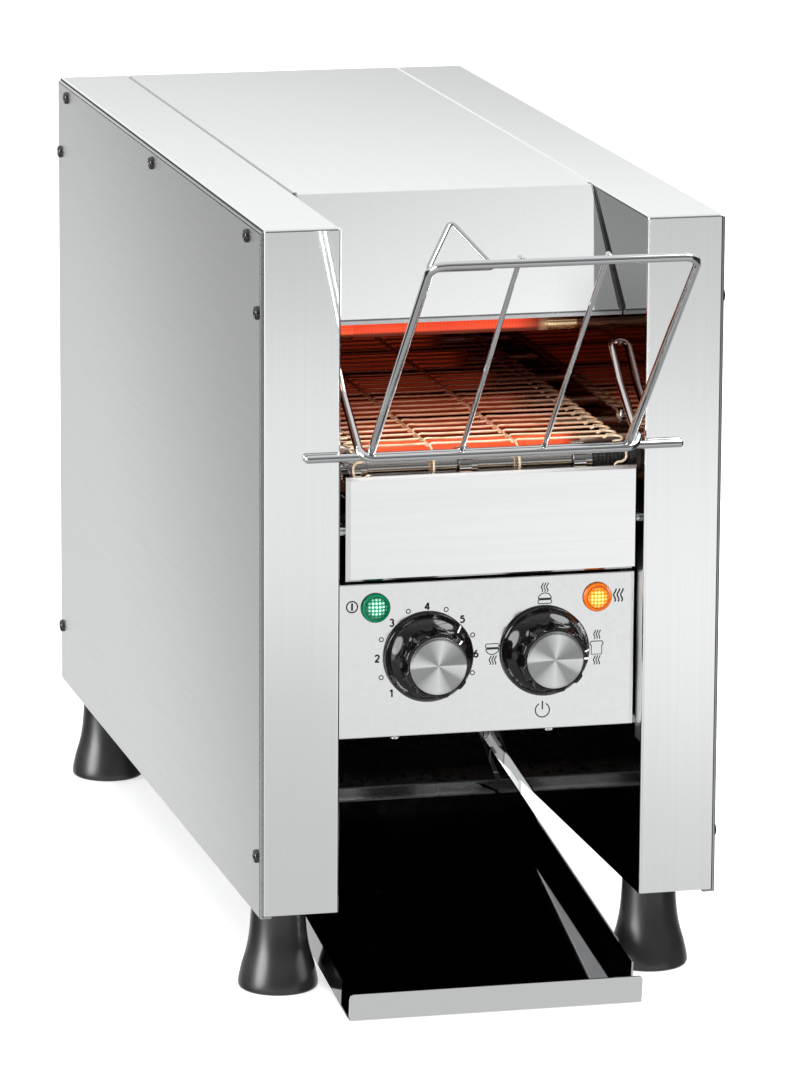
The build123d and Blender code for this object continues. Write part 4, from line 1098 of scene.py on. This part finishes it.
MAT["weld"] = steel("weld_metal", (0.60, 0.58, 0.56), 0.26, (900, 900, 900), 0.12, 0.10, 0.20)


# ================================================================ conveyor belt
PITCH_N = 69
BR = 10.1
D0, D1 = 17.0, 425.0
RUN = D1 - D0
LOOP = 2 * RUN + 2 * PI * BR
PITCH = LOOP / PITCH_N


def belt_at(s, h):
    """Depth and height of a point s along the loop and h outside the wire centre line.
    s runs forwards along the top, round the front shaft, back underneath and up behind."""
    s = s % LOOP
    zc = 293.9
    if s < RUN:
        return D1 - s, zc + BR + h
    s -= RUN
    if s < PI * BR:
        a = s / BR
        return D0 - (BR + h) * math.sin(a), zc + (BR + h) * math.cos(a)
    s -= PI * BR
    if s < RUN:
        return D0 + s, zc - BR - h
    s -= RUN
    a = s / BR
    return D1 + (BR + h) * math.sin(a), zc - (BR + h) * math.cos(a)


def smooth_pts(ctrl, n):
    """Catmull-Rom through (x, s, h) control points."""
    out = []
    m = len(ctrl)
    for i in range(m - 1):
        p0, p1 = ctrl[max(i - 1, 0)], ctrl[i]
        p2, p3 = ctrl[i + 1], ctrl[min(i + 2, m - 1)]
        for k in range(n):
            t = k / n
            q = []
            for a, b, c, d in zip(p0, p1, p2, p3):
                q.append(0.5 * (2 * b + (c - a) * t + (2 * a - 5 * b + 4 * c - d) * t * t
                                + (3 * b - a - 3 * c + d) * t ** 3))
            out.append(tuple(q))
    out.append(ctrl[-1])
    return out


def strand(s0, wob):
    """Centre line of one belt strand: edge loop, three straight spaces, two steps, edge loop."""
    p = PITCH
    c1, c2 = -31.0, 16.0
    L, H = -75.0, 75.0
    seq = []
    # left edge loop: hooks round its neighbour behind, swings out and comes back to the space
    seq += [(L + 9.2, s0 - p - 1.3, -0.9), (L + 7.4, s0 - p - 1.5, -0.1), (L + 6.6, s0 - p + 0.1, 0.9),
            (L + 6.2, s0 - p + 2.2, 0.5), (L + 4.9, s0 - p + 3.3, 0.1), (L + 2.4, s0 - p + 3.6, 0.0),
            (L + 0.4, s0 - p + 5.2, 0.0), (L + 0.0, s0 - 5.2, 0.0), (L + 0.6, s0 - 1.9, 0.0),
            (L + 2.6, s0 - 0.2, 0.0), (L + 5.0, s0, 0.0)]
    # first space
    seq += [(L + 16, s0, wob), (c1 - 14, s0, -wob), (c1 - 4.2, s0, 0.1)]
    # step one pitch forwards at the first column, looped over the next strand
    seq += [(c1 - 1.6, s0 + 0.15, 0.35), (c1 - 0.2, s0 + 1.5, 0.55), (c1 + 0.1, s0 + p * 0.45, 0.2),
            (c1 + 0.2, s0 + p - 1.7, -0.5), (c1 - 0.7, s0 + p + 0.3, -0.85), (c1 + 0.3, s0 + p + 1.5, -0.7),
            (c1 + 1.9, s0 + p + 1.0, 0.1), (c1 + 3.6, s0 + p + 0.05, 0.3)]
    s1 = s0 + p
    seq += [(c1 + 12, s1, wob), (c2 - 12, s1, -wob * 0.6), (c2 - 4.2, s1, 0.1)]
    seq += [(c2 - 1.6, s1 + 0.15, 0.35), (c2 - 0.2, s1 + 1.5, 0.55), (c2 + 0.1, s1 + p * 0.45, 0.2),
            (c2 + 0.2, s1 + p - 1.7, -0.5), (c2 - 0.7, s1 + p + 0.3, -0.85), (c2 + 0.3, s1 + p + 1.5, -0.7),
            (c2 + 1.9, s1 + p + 1.0, 0.1), (c2 + 3.6, s1 + p + 0.05, 0.3)]
    s2 = s1 + p
    seq += [(c2 + 16, s2, -wob), (H - 16, s2, wob), (H - 5.0, s2, 0.0)]
    seq += [(H - 2.6, s2 + 0.2, 0.0), (H - 0.6, s2 + 1.9, 0.0), (H, s2 + 5.2, 0.0),
            (H - 0.4, s2 + p - 5.2, 0.0), (H - 2.4, s2 + p - 3.6, 0.0), (H - 4.9, s2 + p - 3.3, 0.1),
            (H - 6.2, s2 + p - 2.2, 0.5), (H - 6.6, s2 + p - 0.1, 0.9), (H - 7.4, s2 + p + 1.5, -0.1),
            (H - 9.2, s2 + p + 1.3, -0.9)]
    return smooth_pts(seq, 3)


def make_belt():
    rnd = random.Random(5)
    s = Soup()
    for k in range(PITCH_N):
        pts = []
        for x, q, h in strand(k * PITCH + 7.8, rnd.uniform(-0.12, 0.12)):
            d, z = belt_at(q, max(-0.95, min(0.75, h)) * 0.8)
            pts.append(P(x, d, z))
        s.take(*tube(pts, 0.7 * MM, 8))
    s.make("belt_wire_mesh", ROOT, MAT["belt_wire"], slot="belt_wire", replaces=("conveyor_belt",), angle=60)


# ================================================================ front shaft details
def make_shaft_sleeves():
    s = Soup()
    for x0, x1 in ((-66.3, -16.5), (-5.8, 46.5)):
        s.take(*lathe([(4.05, 0.0), (5.2, 0.0), (5.6, 0.4), (5.6, 8.0), (5.6, x1 - x0 - 8.0), (5.6, x1 - x0 - 0.4),
                       (5.2, x1 - x0), (4.05, x1 - x0)], P(x0, 17.0, 293.9), (1, 0, 0), 64))
    s.make("front_spacer_sleeves", "front_roller", MAT["shaft_steel"], slot="shaft_steel",
           replaces=("front_spacer_tubes",), angle=40)
    # knurled black end sleeve
    seg, x0, x1 = 96, 57.4, 79.8
    v, f, rings = [], [], []
    prof = [(4.05, 0.0), (5.6, 0.0), (6.5, 0.5), (6.9, 1.0)]
    n = 9
    for i in range(n):
        h0 = 1.4 + i * (x1 - x0 - 2.8) / n
        w = (x1 - x0 - 2.8) / n
        prof += [(7.0, h0), (7.0, h0 + w * 0.55), (6.3, h0 + w * 0.68), (6.3, h0 + w * 0.9)]
    prof += [(6.9, x1 - x0 - 1.0), (6.5, x1 - x0 - 0.5), (5.6, x1 - x0), (4.05, x1 - x0)]
    s = Soup()
    for r, h in prof:
        ring = []
        for k in range(seg):
            a = 2 * PI * k / seg
            rr = r - (0.22 if (k // 2) % 2 and r > 6.2 else 0.0)
            v.append(P(x0 + h, 17.0 + rr * math.cos(a), 293.9 + rr * math.sin(a)))
            ring.append(len(v) - 1)
        rings.append(ring)
    for A, B in zip(rings, rings[1:]):
        for k in range(seg):
            k2 = (k + 1) % seg
            f.append([A[k], B[k], B[k2], A[k2]])
    s.take(v, f)
    s.make("front_end_sleeve", "front_roller", MAT["bush_plastic"], slot="bush_plastic", angle=30)


# ================================================================ hood shadow-gap strips (painted shade)
def make_shadow_gap_strips():
    """Narrow black strips along the joint between the hood's slope and the walls: a dark piece standing in for the
    shadow gap there, painted shade.
    """
    s = Soup()
    for sx in (-1, 1):
        line = [(47.2, 366.2), (47.35, 367.75), (48.6, 369.0), (109.0, 425.75), (110.5, 425.9), (114.0, 425.9)]
        v, f = [], []
        n = len(line)
        for i, (d, z) in enumerate(line):
            a, b = line[max(i - 1, 0)], line[min(i + 1, n - 1)]
            t = Vector((b[0] - a[0], b[1] - a[1])).normalized()
            nd, nz = -t.y, t.x
            for x, h in ((80.95, -0.25), (81.1, 0.08), (82.4, 0.20), (83.26, 0.08), (83.28, -0.9), (82.86, -0.9)):
                v.append(P(sx * x, d + nd * h, z + nz * h))
        m = 6
        for i in range(n - 1):
            for k in range(m):
                k2 = (k + 1) % m
                f.append([i * m + k, i * m + k2, (i + 1) * m + k2, (i + 1) * m + k])
        f.append([k for k in range(m)])
        f.append([(n - 1) * m + k for k in range(m)][::-1])
        s.take(v, f)
    s.make("hood_edge_seals", ROOT, MAT["bush_plastic"], slot="bush_plastic", angle=40)


# ================================================================ pressed triangle
def make_triangle():
    """Half-round bead that crowns the raised triangle on the hood's slope."""
    ang = math.atan2(426.0 - 367.6, 109.0 - 47.0)
    origin = P(-0.7, 77.3, 367.6 + (77.3 - 47.0) * math.tan(ang))
    ex = Vector((1, 0, 0))
    ey = Vector((0, math.cos(ang), math.sin(ang)))
    en = Vector((0, -math.sin(ang), math.cos(ang)))
    R, fr = 21.6, 2.0
    line = []
    for k in range(3):
        a = math.radians(90 + 120 * k)
        corner = Vector((math.cos(a), math.sin(a))) * R
        c = corner * ((R - 2 * fr) / R)
        for j in range(11):
            b = a - math.radians(60) + math.radians(120) * j / 10
            line.append(c + Vector((math.cos(b), math.sin(b))) * fr)
    n = len(line)
    prof = [(-1.5, -0.10), (-1.45, 0.06), (-1.1, 0.40), (-0.6, 0.72), (0.0, 0.86), (0.6, 0.72), (1.1, 0.40),
            (1.45, 0.06), (1.5, -0.10)]
    m = len(prof)
    v, f = [], []
    for i in range(n):
        t = (line[(i + 1) % n] - line[i - 1]).normalized()
        side = Vector((t.y, -t.x))
        for w, h in prof:
            q = line[i] + side * w
            v.append(origin + (ex * q.x + ey * q.y + en * h) * MM)
    for i in range(n):
        j = (i + 1) % n
        for k in range(m):
            k2 = (k + 1) % m
            f.append([i * m + k, i * m + k2, j * m + k2, j * m + k])
    add("hood_triangle_bead", v, f, ROOT, MAT["bead_steel"], slot="hood_steel", angle=60)


MAT["bead_steel"] = steel("bead_bright", (0.46, 0.46, 0.46), 0.07, (400, 400, 400), 0.02, 0.02, 0.004)


# ================================================================ rear tray guide
def make_tray_guide():
    """Channel behind the tray, in its plane: bed, two low walls and four tabs to the lane walls."""
    c, q = math.cos(math.radians(7.9)), math.sin(math.radians(7.9))

    def at(x, run, up):
        return P(x, -21.5 + run * c - up * q, 0.7 + run * q + up * c)

    s = Soup()

    def channel(l0, l1):
        prof = [(-80.9, 0.0), (79.5, 0.0), (79.5, 15.2), (78.5, 15.2), (78.5, 1.3), (78.2, 1.0), (-79.6, 1.0),
                (-79.9, 1.3), (-79.9, 8.0), (-80.9, 8.0)]
        v = [at(x, l, h) for l in (l0, l1) for x, h in prof]
        n = len(prof)
        f = [[i, (i + 1) % n, n + (i + 1) % n, n + i] for i in range(n)]
        f.append(list(range(n))[::-1])
        f.append([n + i for i in range(n)])
        s.take(v, f)

    channel(326.5, 444.0)
    for x0, x1 in ((79.45, 83.34), (-83.34, -80.85)):
        for l in (356.0, 424.0):
            v = [at(x, m, h) for m in (l, l + 9.0) for x, h in ((x0, 0.0), (x1, 0.0), (x1, 1.0), (x0, 1.0))]
            f = [[0, 1, 2, 3][::-1], [4, 5, 6, 7], [0, 1, 5, 4], [1, 2, 6, 5], [2, 3, 7, 6], [3, 0, 4, 7]]
            s.take(v, f)
    s.make("rear_tray_guide", ROOT, MAT["guide_steel"], slot="stainless", angle=30)


MAT["guide_steel"] = steel("guide_sheet", (0.34, 0.34, 0.34), 0.10, (300, 12, 300), 0.02, 0.02, 0.006)


# ================================================================ joint strips on top
def make_top_strips():
    """Narrow pale strips that close the joints between the hood's top and the housings."""
    s = Soup()
    for sx in (-1, 1):
        prof = [(82.04, 424.9), (83.30, 424.9), (83.30, 425.62), (82.9, 425.74), (82.4, 425.74), (82.04, 425.62)]
        n = len(prof)
        v = [P(sx * x, d, z) for d in (115.0, 556.0) for x, z in prof]
        f = [[i, (i + 1) % n, n + (i + 1) % n, n + i] for i in range(n)]
        f.append(list(range(n)))
        f.append([n + i for i in range(n)])
        s.take(v, f)
    s.make("hood_joint_strips", ROOT, MAT["strip_steel"], slot="hood_steel", angle=30)


MAT["strip_steel"] = steel("strip_sheet", (0.62, 0.62, 0.62), 0.18, (300, 12, 300), 0.02, 0.02, 0.006)


# ================================================================ panel side fillers
def make_fillers():
    """Narrow bright flange that fills the joint between the control panel and the left wall."""
    s = Soup()
    for sx in (-1,):
        prof = [(82.22, 13.1), (82.42, 12.9), (83.36, 12.9), (83.36, 14.6), (82.22, 14.6)]
        n = len(prof)
        v = [P(sx * x, d, z) for z in (141.0, 231.2) for x, d in prof]
        f = [[i, (i + 1) % n, n + (i + 1) % n, n + i] for i in range(n)]
        f.append(list(range(n)))
        f.append([n + i for i in range(n)])
        s.take(v, f)
    s.make("panel_side_filler", ROOT, MAT["control_steel"], slot="panel_steel", angle=30)


# ================================================================ CAD node finishes
def node_materials():
    slots = {row["node"]: row["material_slot"] for row in frame["record"]["subparts"]}
    special = {"front_fascia": "fascia_steel", "control_panel": "control_steel", "toast_tray": "tray_steel",
               "left_side_panel": "panel_steel", "right_side_panel": "panel_steel",
               "toast_chute": "chute_steel", "inner_screws": "wire_steel", "lower_heater_tubes": "quartz_glow_low"}
    for name, ob in frame["nodes"].items():
        key = special.get(name, slots.get(name, "galvanised"))
        mat = MAT.get(key) or MAT["galvanised"]
        ob.data.materials.clear()
        ob.data.materials.append(mat)
        for p in ob.data.polygons:
            if p.material_index:
                p.material_index = 0


MAT["knob_cap"] = cap_material("cap_spun", -32.1)
node_materials()
make_feet()
make_screws()
make_knob("speed_knob_moulded", -32.1, "speed_dial", math.radians(45), "speed_knob", "speed_knob_cap")
make_knob("selector_knob_moulded", 32.1, "selector_dial", 0.0, "selector_knob", "selector_knob_cap")
make_legends()
make_lenses()
make_rack()
make_belt()
make_shaft_sleeves()
make_shadow_gap_strips()
make_triangle()
make_tray_guide()
make_top_strips()
make_fillers()


# ================================================================ floor, light, camera
def make_floor():
    n, size = 8, 7.0
    v = [Vector(((i / n - 0.5) * 2 * size, (j / n - 0.5) * 2 * size, 0.0)) for j in range(n + 1) for i in range(n + 1)]
    f = [[j * (n + 1) + i, j * (n + 1) + i + 1, (j + 1) * (n + 1) + i + 1, (j + 1) * (n + 1) + i]
         for j in range(n) for i in range(n)]
    me = bpy.data.meshes.new("studio_floor")
    me.from_pydata([tuple(p) for p in v], [], f)
    g = Graph("pale_floor")
    a = g.noise(g.mapping((2, 2, 2)), 1.0, 2.0, 0.5)
    g.set(base=g.ramp(a, [(0.3, 0.60), (0.7, 0.62)]), rough=0.9, spec=0.1,
          emit=g.ramp(a, [(0.3, 0.99), (0.7, 1.0)]), power=0.62)
    me.materials.append(g.m)
    ob = bpy.data.objects.new("studio_floor", me)
    bpy.context.scene.collection.objects.link(ob)
    ob.visible_glossy = False


def make_world():
    w = bpy.data.worlds.new("studio")
    bpy.context.scene.world = w
    w.use_nodes = True
    t = w.node_tree
    n, l = t.nodes, t.links
    n.clear()
    out = n.new("ShaderNodeOutputWorld")
    co = n.new("ShaderNodeTexCoord").outputs["Generated"]
    sep = n.new("ShaderNodeSeparateXYZ")
    l.new(co, sep.inputs[0])

    def val(sock, v):
        if isinstance(v, bpy.types.NodeSocket):
            l.new(v, sock)
        else:
            sock.default_value = v

    def mth(op, a, b=0.0, c=0.0):
        q = n.new("ShaderNodeMath")
        q.operation = op
        val(q.inputs[0], a)
        val(q.inputs[1], b)
        if op == "MULTIPLY_ADD":
            val(q.inputs[2], c)
        return q.outputs[0]

    def rng(v, a, b, c, d, kind="SMOOTHSTEP"):
        q = n.new("ShaderNodeMapRange")
        q.interpolation_type = kind
        val(q.inputs["Value"], v)
        for k, x in (("From Min", a), ("From Max", b), ("To Min", c), ("To Max", d)):
            q.inputs[k].default_value = x
        return q.outputs["Result"]

    def curve(fac, stops):
        q = n.new("ShaderNodeValToRGB")
        el = q.color_ramp.elements
        while len(el) < len(stops):
            el.new(0.5)
        for e, (p, c) in zip(el, stops):
            e.position = (p + 1) / 2
            e.color = (c, c, c, 1.0)
        l.new(rng(fac, -1, 1, 0, 1, "LINEAR"), q.inputs["Fac"])
        s = n.new("ShaderNodeSeparateColor")
        l.new(q.outputs["Color"], s.inputs[0])
        return s.outputs[0]

    x, y, z = sep.outputs
    # table and room in front of the object, by the sine of the elevation; the right is brighter
    low = [(-1.0, 0.45), (-0.5, 0.62), (-0.45, 0.64)]
    high = [(-0.12, 0.42), (-0.06, 0.14), (0.06, 0.10), (0.20, 0.22), (0.45, 0.27), (0.64, 0.34), (0.80, 0.62), (0.92, 1.0), (1.0, 0.95)]
    front_l = curve(z, low + [(-0.30, 0.64), (-0.272, 0.66), (-0.256, 0.67), (-0.241, 0.72), (-0.2256, 0.87),
                              (-0.2195, 0.905), (-0.2135, 0.92), (-0.200, 0.92), (-0.192, 0.89), (-0.184, 0.80),
                              (-0.1778, 0.72), (-0.17, 0.67)] + high)
    front_r = curve(z, low + [(-0.30, 0.70), (-0.272, 0.745), (-0.256, 0.81), (-0.241, 0.97), (-0.2256, 1.04),
                              (-0.2195, 1.035), (-0.2135, 1.02), (-0.203, 0.975), (-0.195, 0.87), (-0.186, 0.78),
                              (-0.178, 0.72), (-0.17, 0.69)] + high)

    def blend(f, p, q):
        m = n.new("ShaderNodeMix")
        m.data_type = "FLOAT"
        l.new(f, m.inputs[0])
        l.new(p, m.inputs[2])
        l.new(q, m.inputs[3])
        return m.outputs[0]

    front = blend(rng(x, 0.22, 0.278, 0.0, 1.0, "LINEAR"), front_l, front_r)
    back = curve(z, [(-1.0, 0.40), (-0.5, 0.60), (-0.32, 0.80), (-0.25, 0.86), (-0.19, 0.82), (-0.145, 0.68),
                     (-0.09, 0.32), (0.0, 0.14), (0.08, 0.20), (0.125, 0.55), (0.146, 0.80), (0.155, 0.92),
                     (0.163, 1.0), (0.172, 1.04), (0.25, 1.05), (0.6, 1.0), (1.0, 0.95)])
    fade = blend(rng(z, 0.140, 0.166, 0.0, 1.0), rng(x, 0.17, 0.26, 1.10, 0.86, "LINEAR"),
                 mth("ADD", mth("MULTIPLY", z, 0.0), 1.0))
    back = mth("MULTIPLY", back, fade)
    lum = blend(rng(y, -0.30, 0.30, 0.0, 1.0), front, back)

    def blob(dirn, c0, c1, gain):
        dv = Vector(dirn).normalized()
        q = n.new("ShaderNodeVectorMath")
        q.operation = "DOT_PRODUCT"
        l.new(co, q.inputs[0])
        q.inputs[1].default_value = dv
        return rng(q.outputs["Value"], math.cos(math.radians(c1)), math.cos(math.radians(c0)), 0.0, gain)

    # soft boxes
    lum = mth("ADD", lum, blob((-0.88, -0.36, 0.28), 15, 19, 8.5))
    lum = mth("ADD", lum, blob((-0.95, -0.28, 0.00), 8, 13, 2.6))
    lum = mth("ADD", lum, blob((0.58, -0.24, 0.78), 15, 19, 8.5))
    lum = mth("ADD", lum, blob((-0.68, -0.70, -0.20), 12, 22, 0.15))
    lum = mth("ADD", lum, blob((0.3256, 0.9455, 0.0), 3.5, 8, 0.9))
    # dark flags
    for dirn, c0, c1, gain in (((-0.86, 0.42, -0.30), 24, 33, 0.94), ((0.93, -0.10, -0.24), 28, 40, 0.93),
                               ((-0.2917, 0.954, 0.0698), 6, 12, 0.85)):
        lum = mth("MULTIPLY", lum, mth("SUBTRACT", 1.0, blob(dirn, c0, c1, gain)))
    lp = n.new("ShaderNodeLightPath")
    bg = n.new("ShaderNodeBackground")
    l.new(lum, bg.inputs["Strength"])
    bg.inputs["Color"].default_value = (0.985, 0.995, 1.0, 1.0)
    white = n.new("ShaderNodeBackground")
    white.inputs["Color"].default_value = (1, 1, 1, 1)
    white.inputs["Strength"].default_value = 1.0
    ms = n.new("ShaderNodeMixShader")
    l.new(lp.outputs["Is Camera Ray"], ms.inputs[0])
    l.new(bg.outputs[0], ms.inputs[1])
    l.new(white.outputs[0], ms.inputs[2])
    l.new(ms.outputs[0], out.inputs["Surface"])


def area(name, loc, target, size, power, color=(1, 1, 1), glossy=True, diffuse=1.0):
    li = bpy.data.lights.new(name, "AREA")
    li.shape = "RECTANGLE"
    li.size, li.size_y = size
    li.energy = power
    li.color = color
    ob = bpy.data.objects.new(name, li)
    bpy.context.scene.collection.objects.link(ob)
    ob.location = loc
    ob.rotation_mode = "QUATERNION"
    ob.rotation_quaternion = (Vector(target) - Vector(loc)).to_track_quat("-Z", "Y")
    ob.visible_camera = False
    ob.visible_glossy = glossy
    return ob


def make_lights():
    # broad overhead light that keeps the table white
    area("overhead", (0.2, -0.3, 2.6), (0.0, 0.0, 0.0), (3.6, 3.6), 46.0, glossy=False)
    # soft key that only models matt and plastic parts at the mouth of the lane
    area("mouth_key", (-0.35, -1.25, 0.95), tuple(P(0, 30, 300)), (0.5, 0.5), 16.0, (1.0, 0.97, 0.93), glossy=False)
    # glow of the elements inside the toasting chamber
    area("glow_low", tuple(P(0, 200, 300.0)), tuple(P(0, 200, 360.0)), (0.13, 0.36), 0.11, (1.0, 0.16, 0.06), glossy=False)
    area("glow_high", tuple(P(0, 200, 352.0)), tuple(P(0, 200, 300.0)), (0.13, 0.36), 0.09, (1.0, 0.16, 0.06), glossy=False)


def make_camera():
    az, el, roll = -0.2437, 0.2169, 0.0057
    fwd = Vector((-math.sin(az) * math.cos(el), math.cos(az) * math.cos(el), -math.sin(el)))
    right = Vector((math.cos(az), math.sin(az), 0.0))
    up = right.cross(fwd)
    r2 = right * math.cos(roll) + up * math.sin(roll)
    u2 = -right * math.sin(roll) + up * math.cos(roll)
    cam = bpy.data.cameras.new("camera")
    cam.sensor_fit = "AUTO"
    cam.sensor_width = 36.0
    cam.lens = 215.35
    cam.clip_start, cam.clip_end = 0.05, 100.0
    ob = bpy.data.objects.new("camera", cam)
    bpy.context.scene.collection.objects.link(ob)
    m = Matrix((r2, u2, -fwd)).transposed().to_4x4()
    m.translation = Vector((-0.845097, -3.413255, 0.986668))
    ob.matrix_world = m
    bpy.context.scene.camera = ob


make_floor()
make_world()
make_lights()
make_camera()
vs = bpy.context.scene.view_settings
vs.view_transform = "Standard"
vs.look = "None"
vs.exposure = 0.0
vs.gamma = 1.0

bpy.context.view_layer.update()
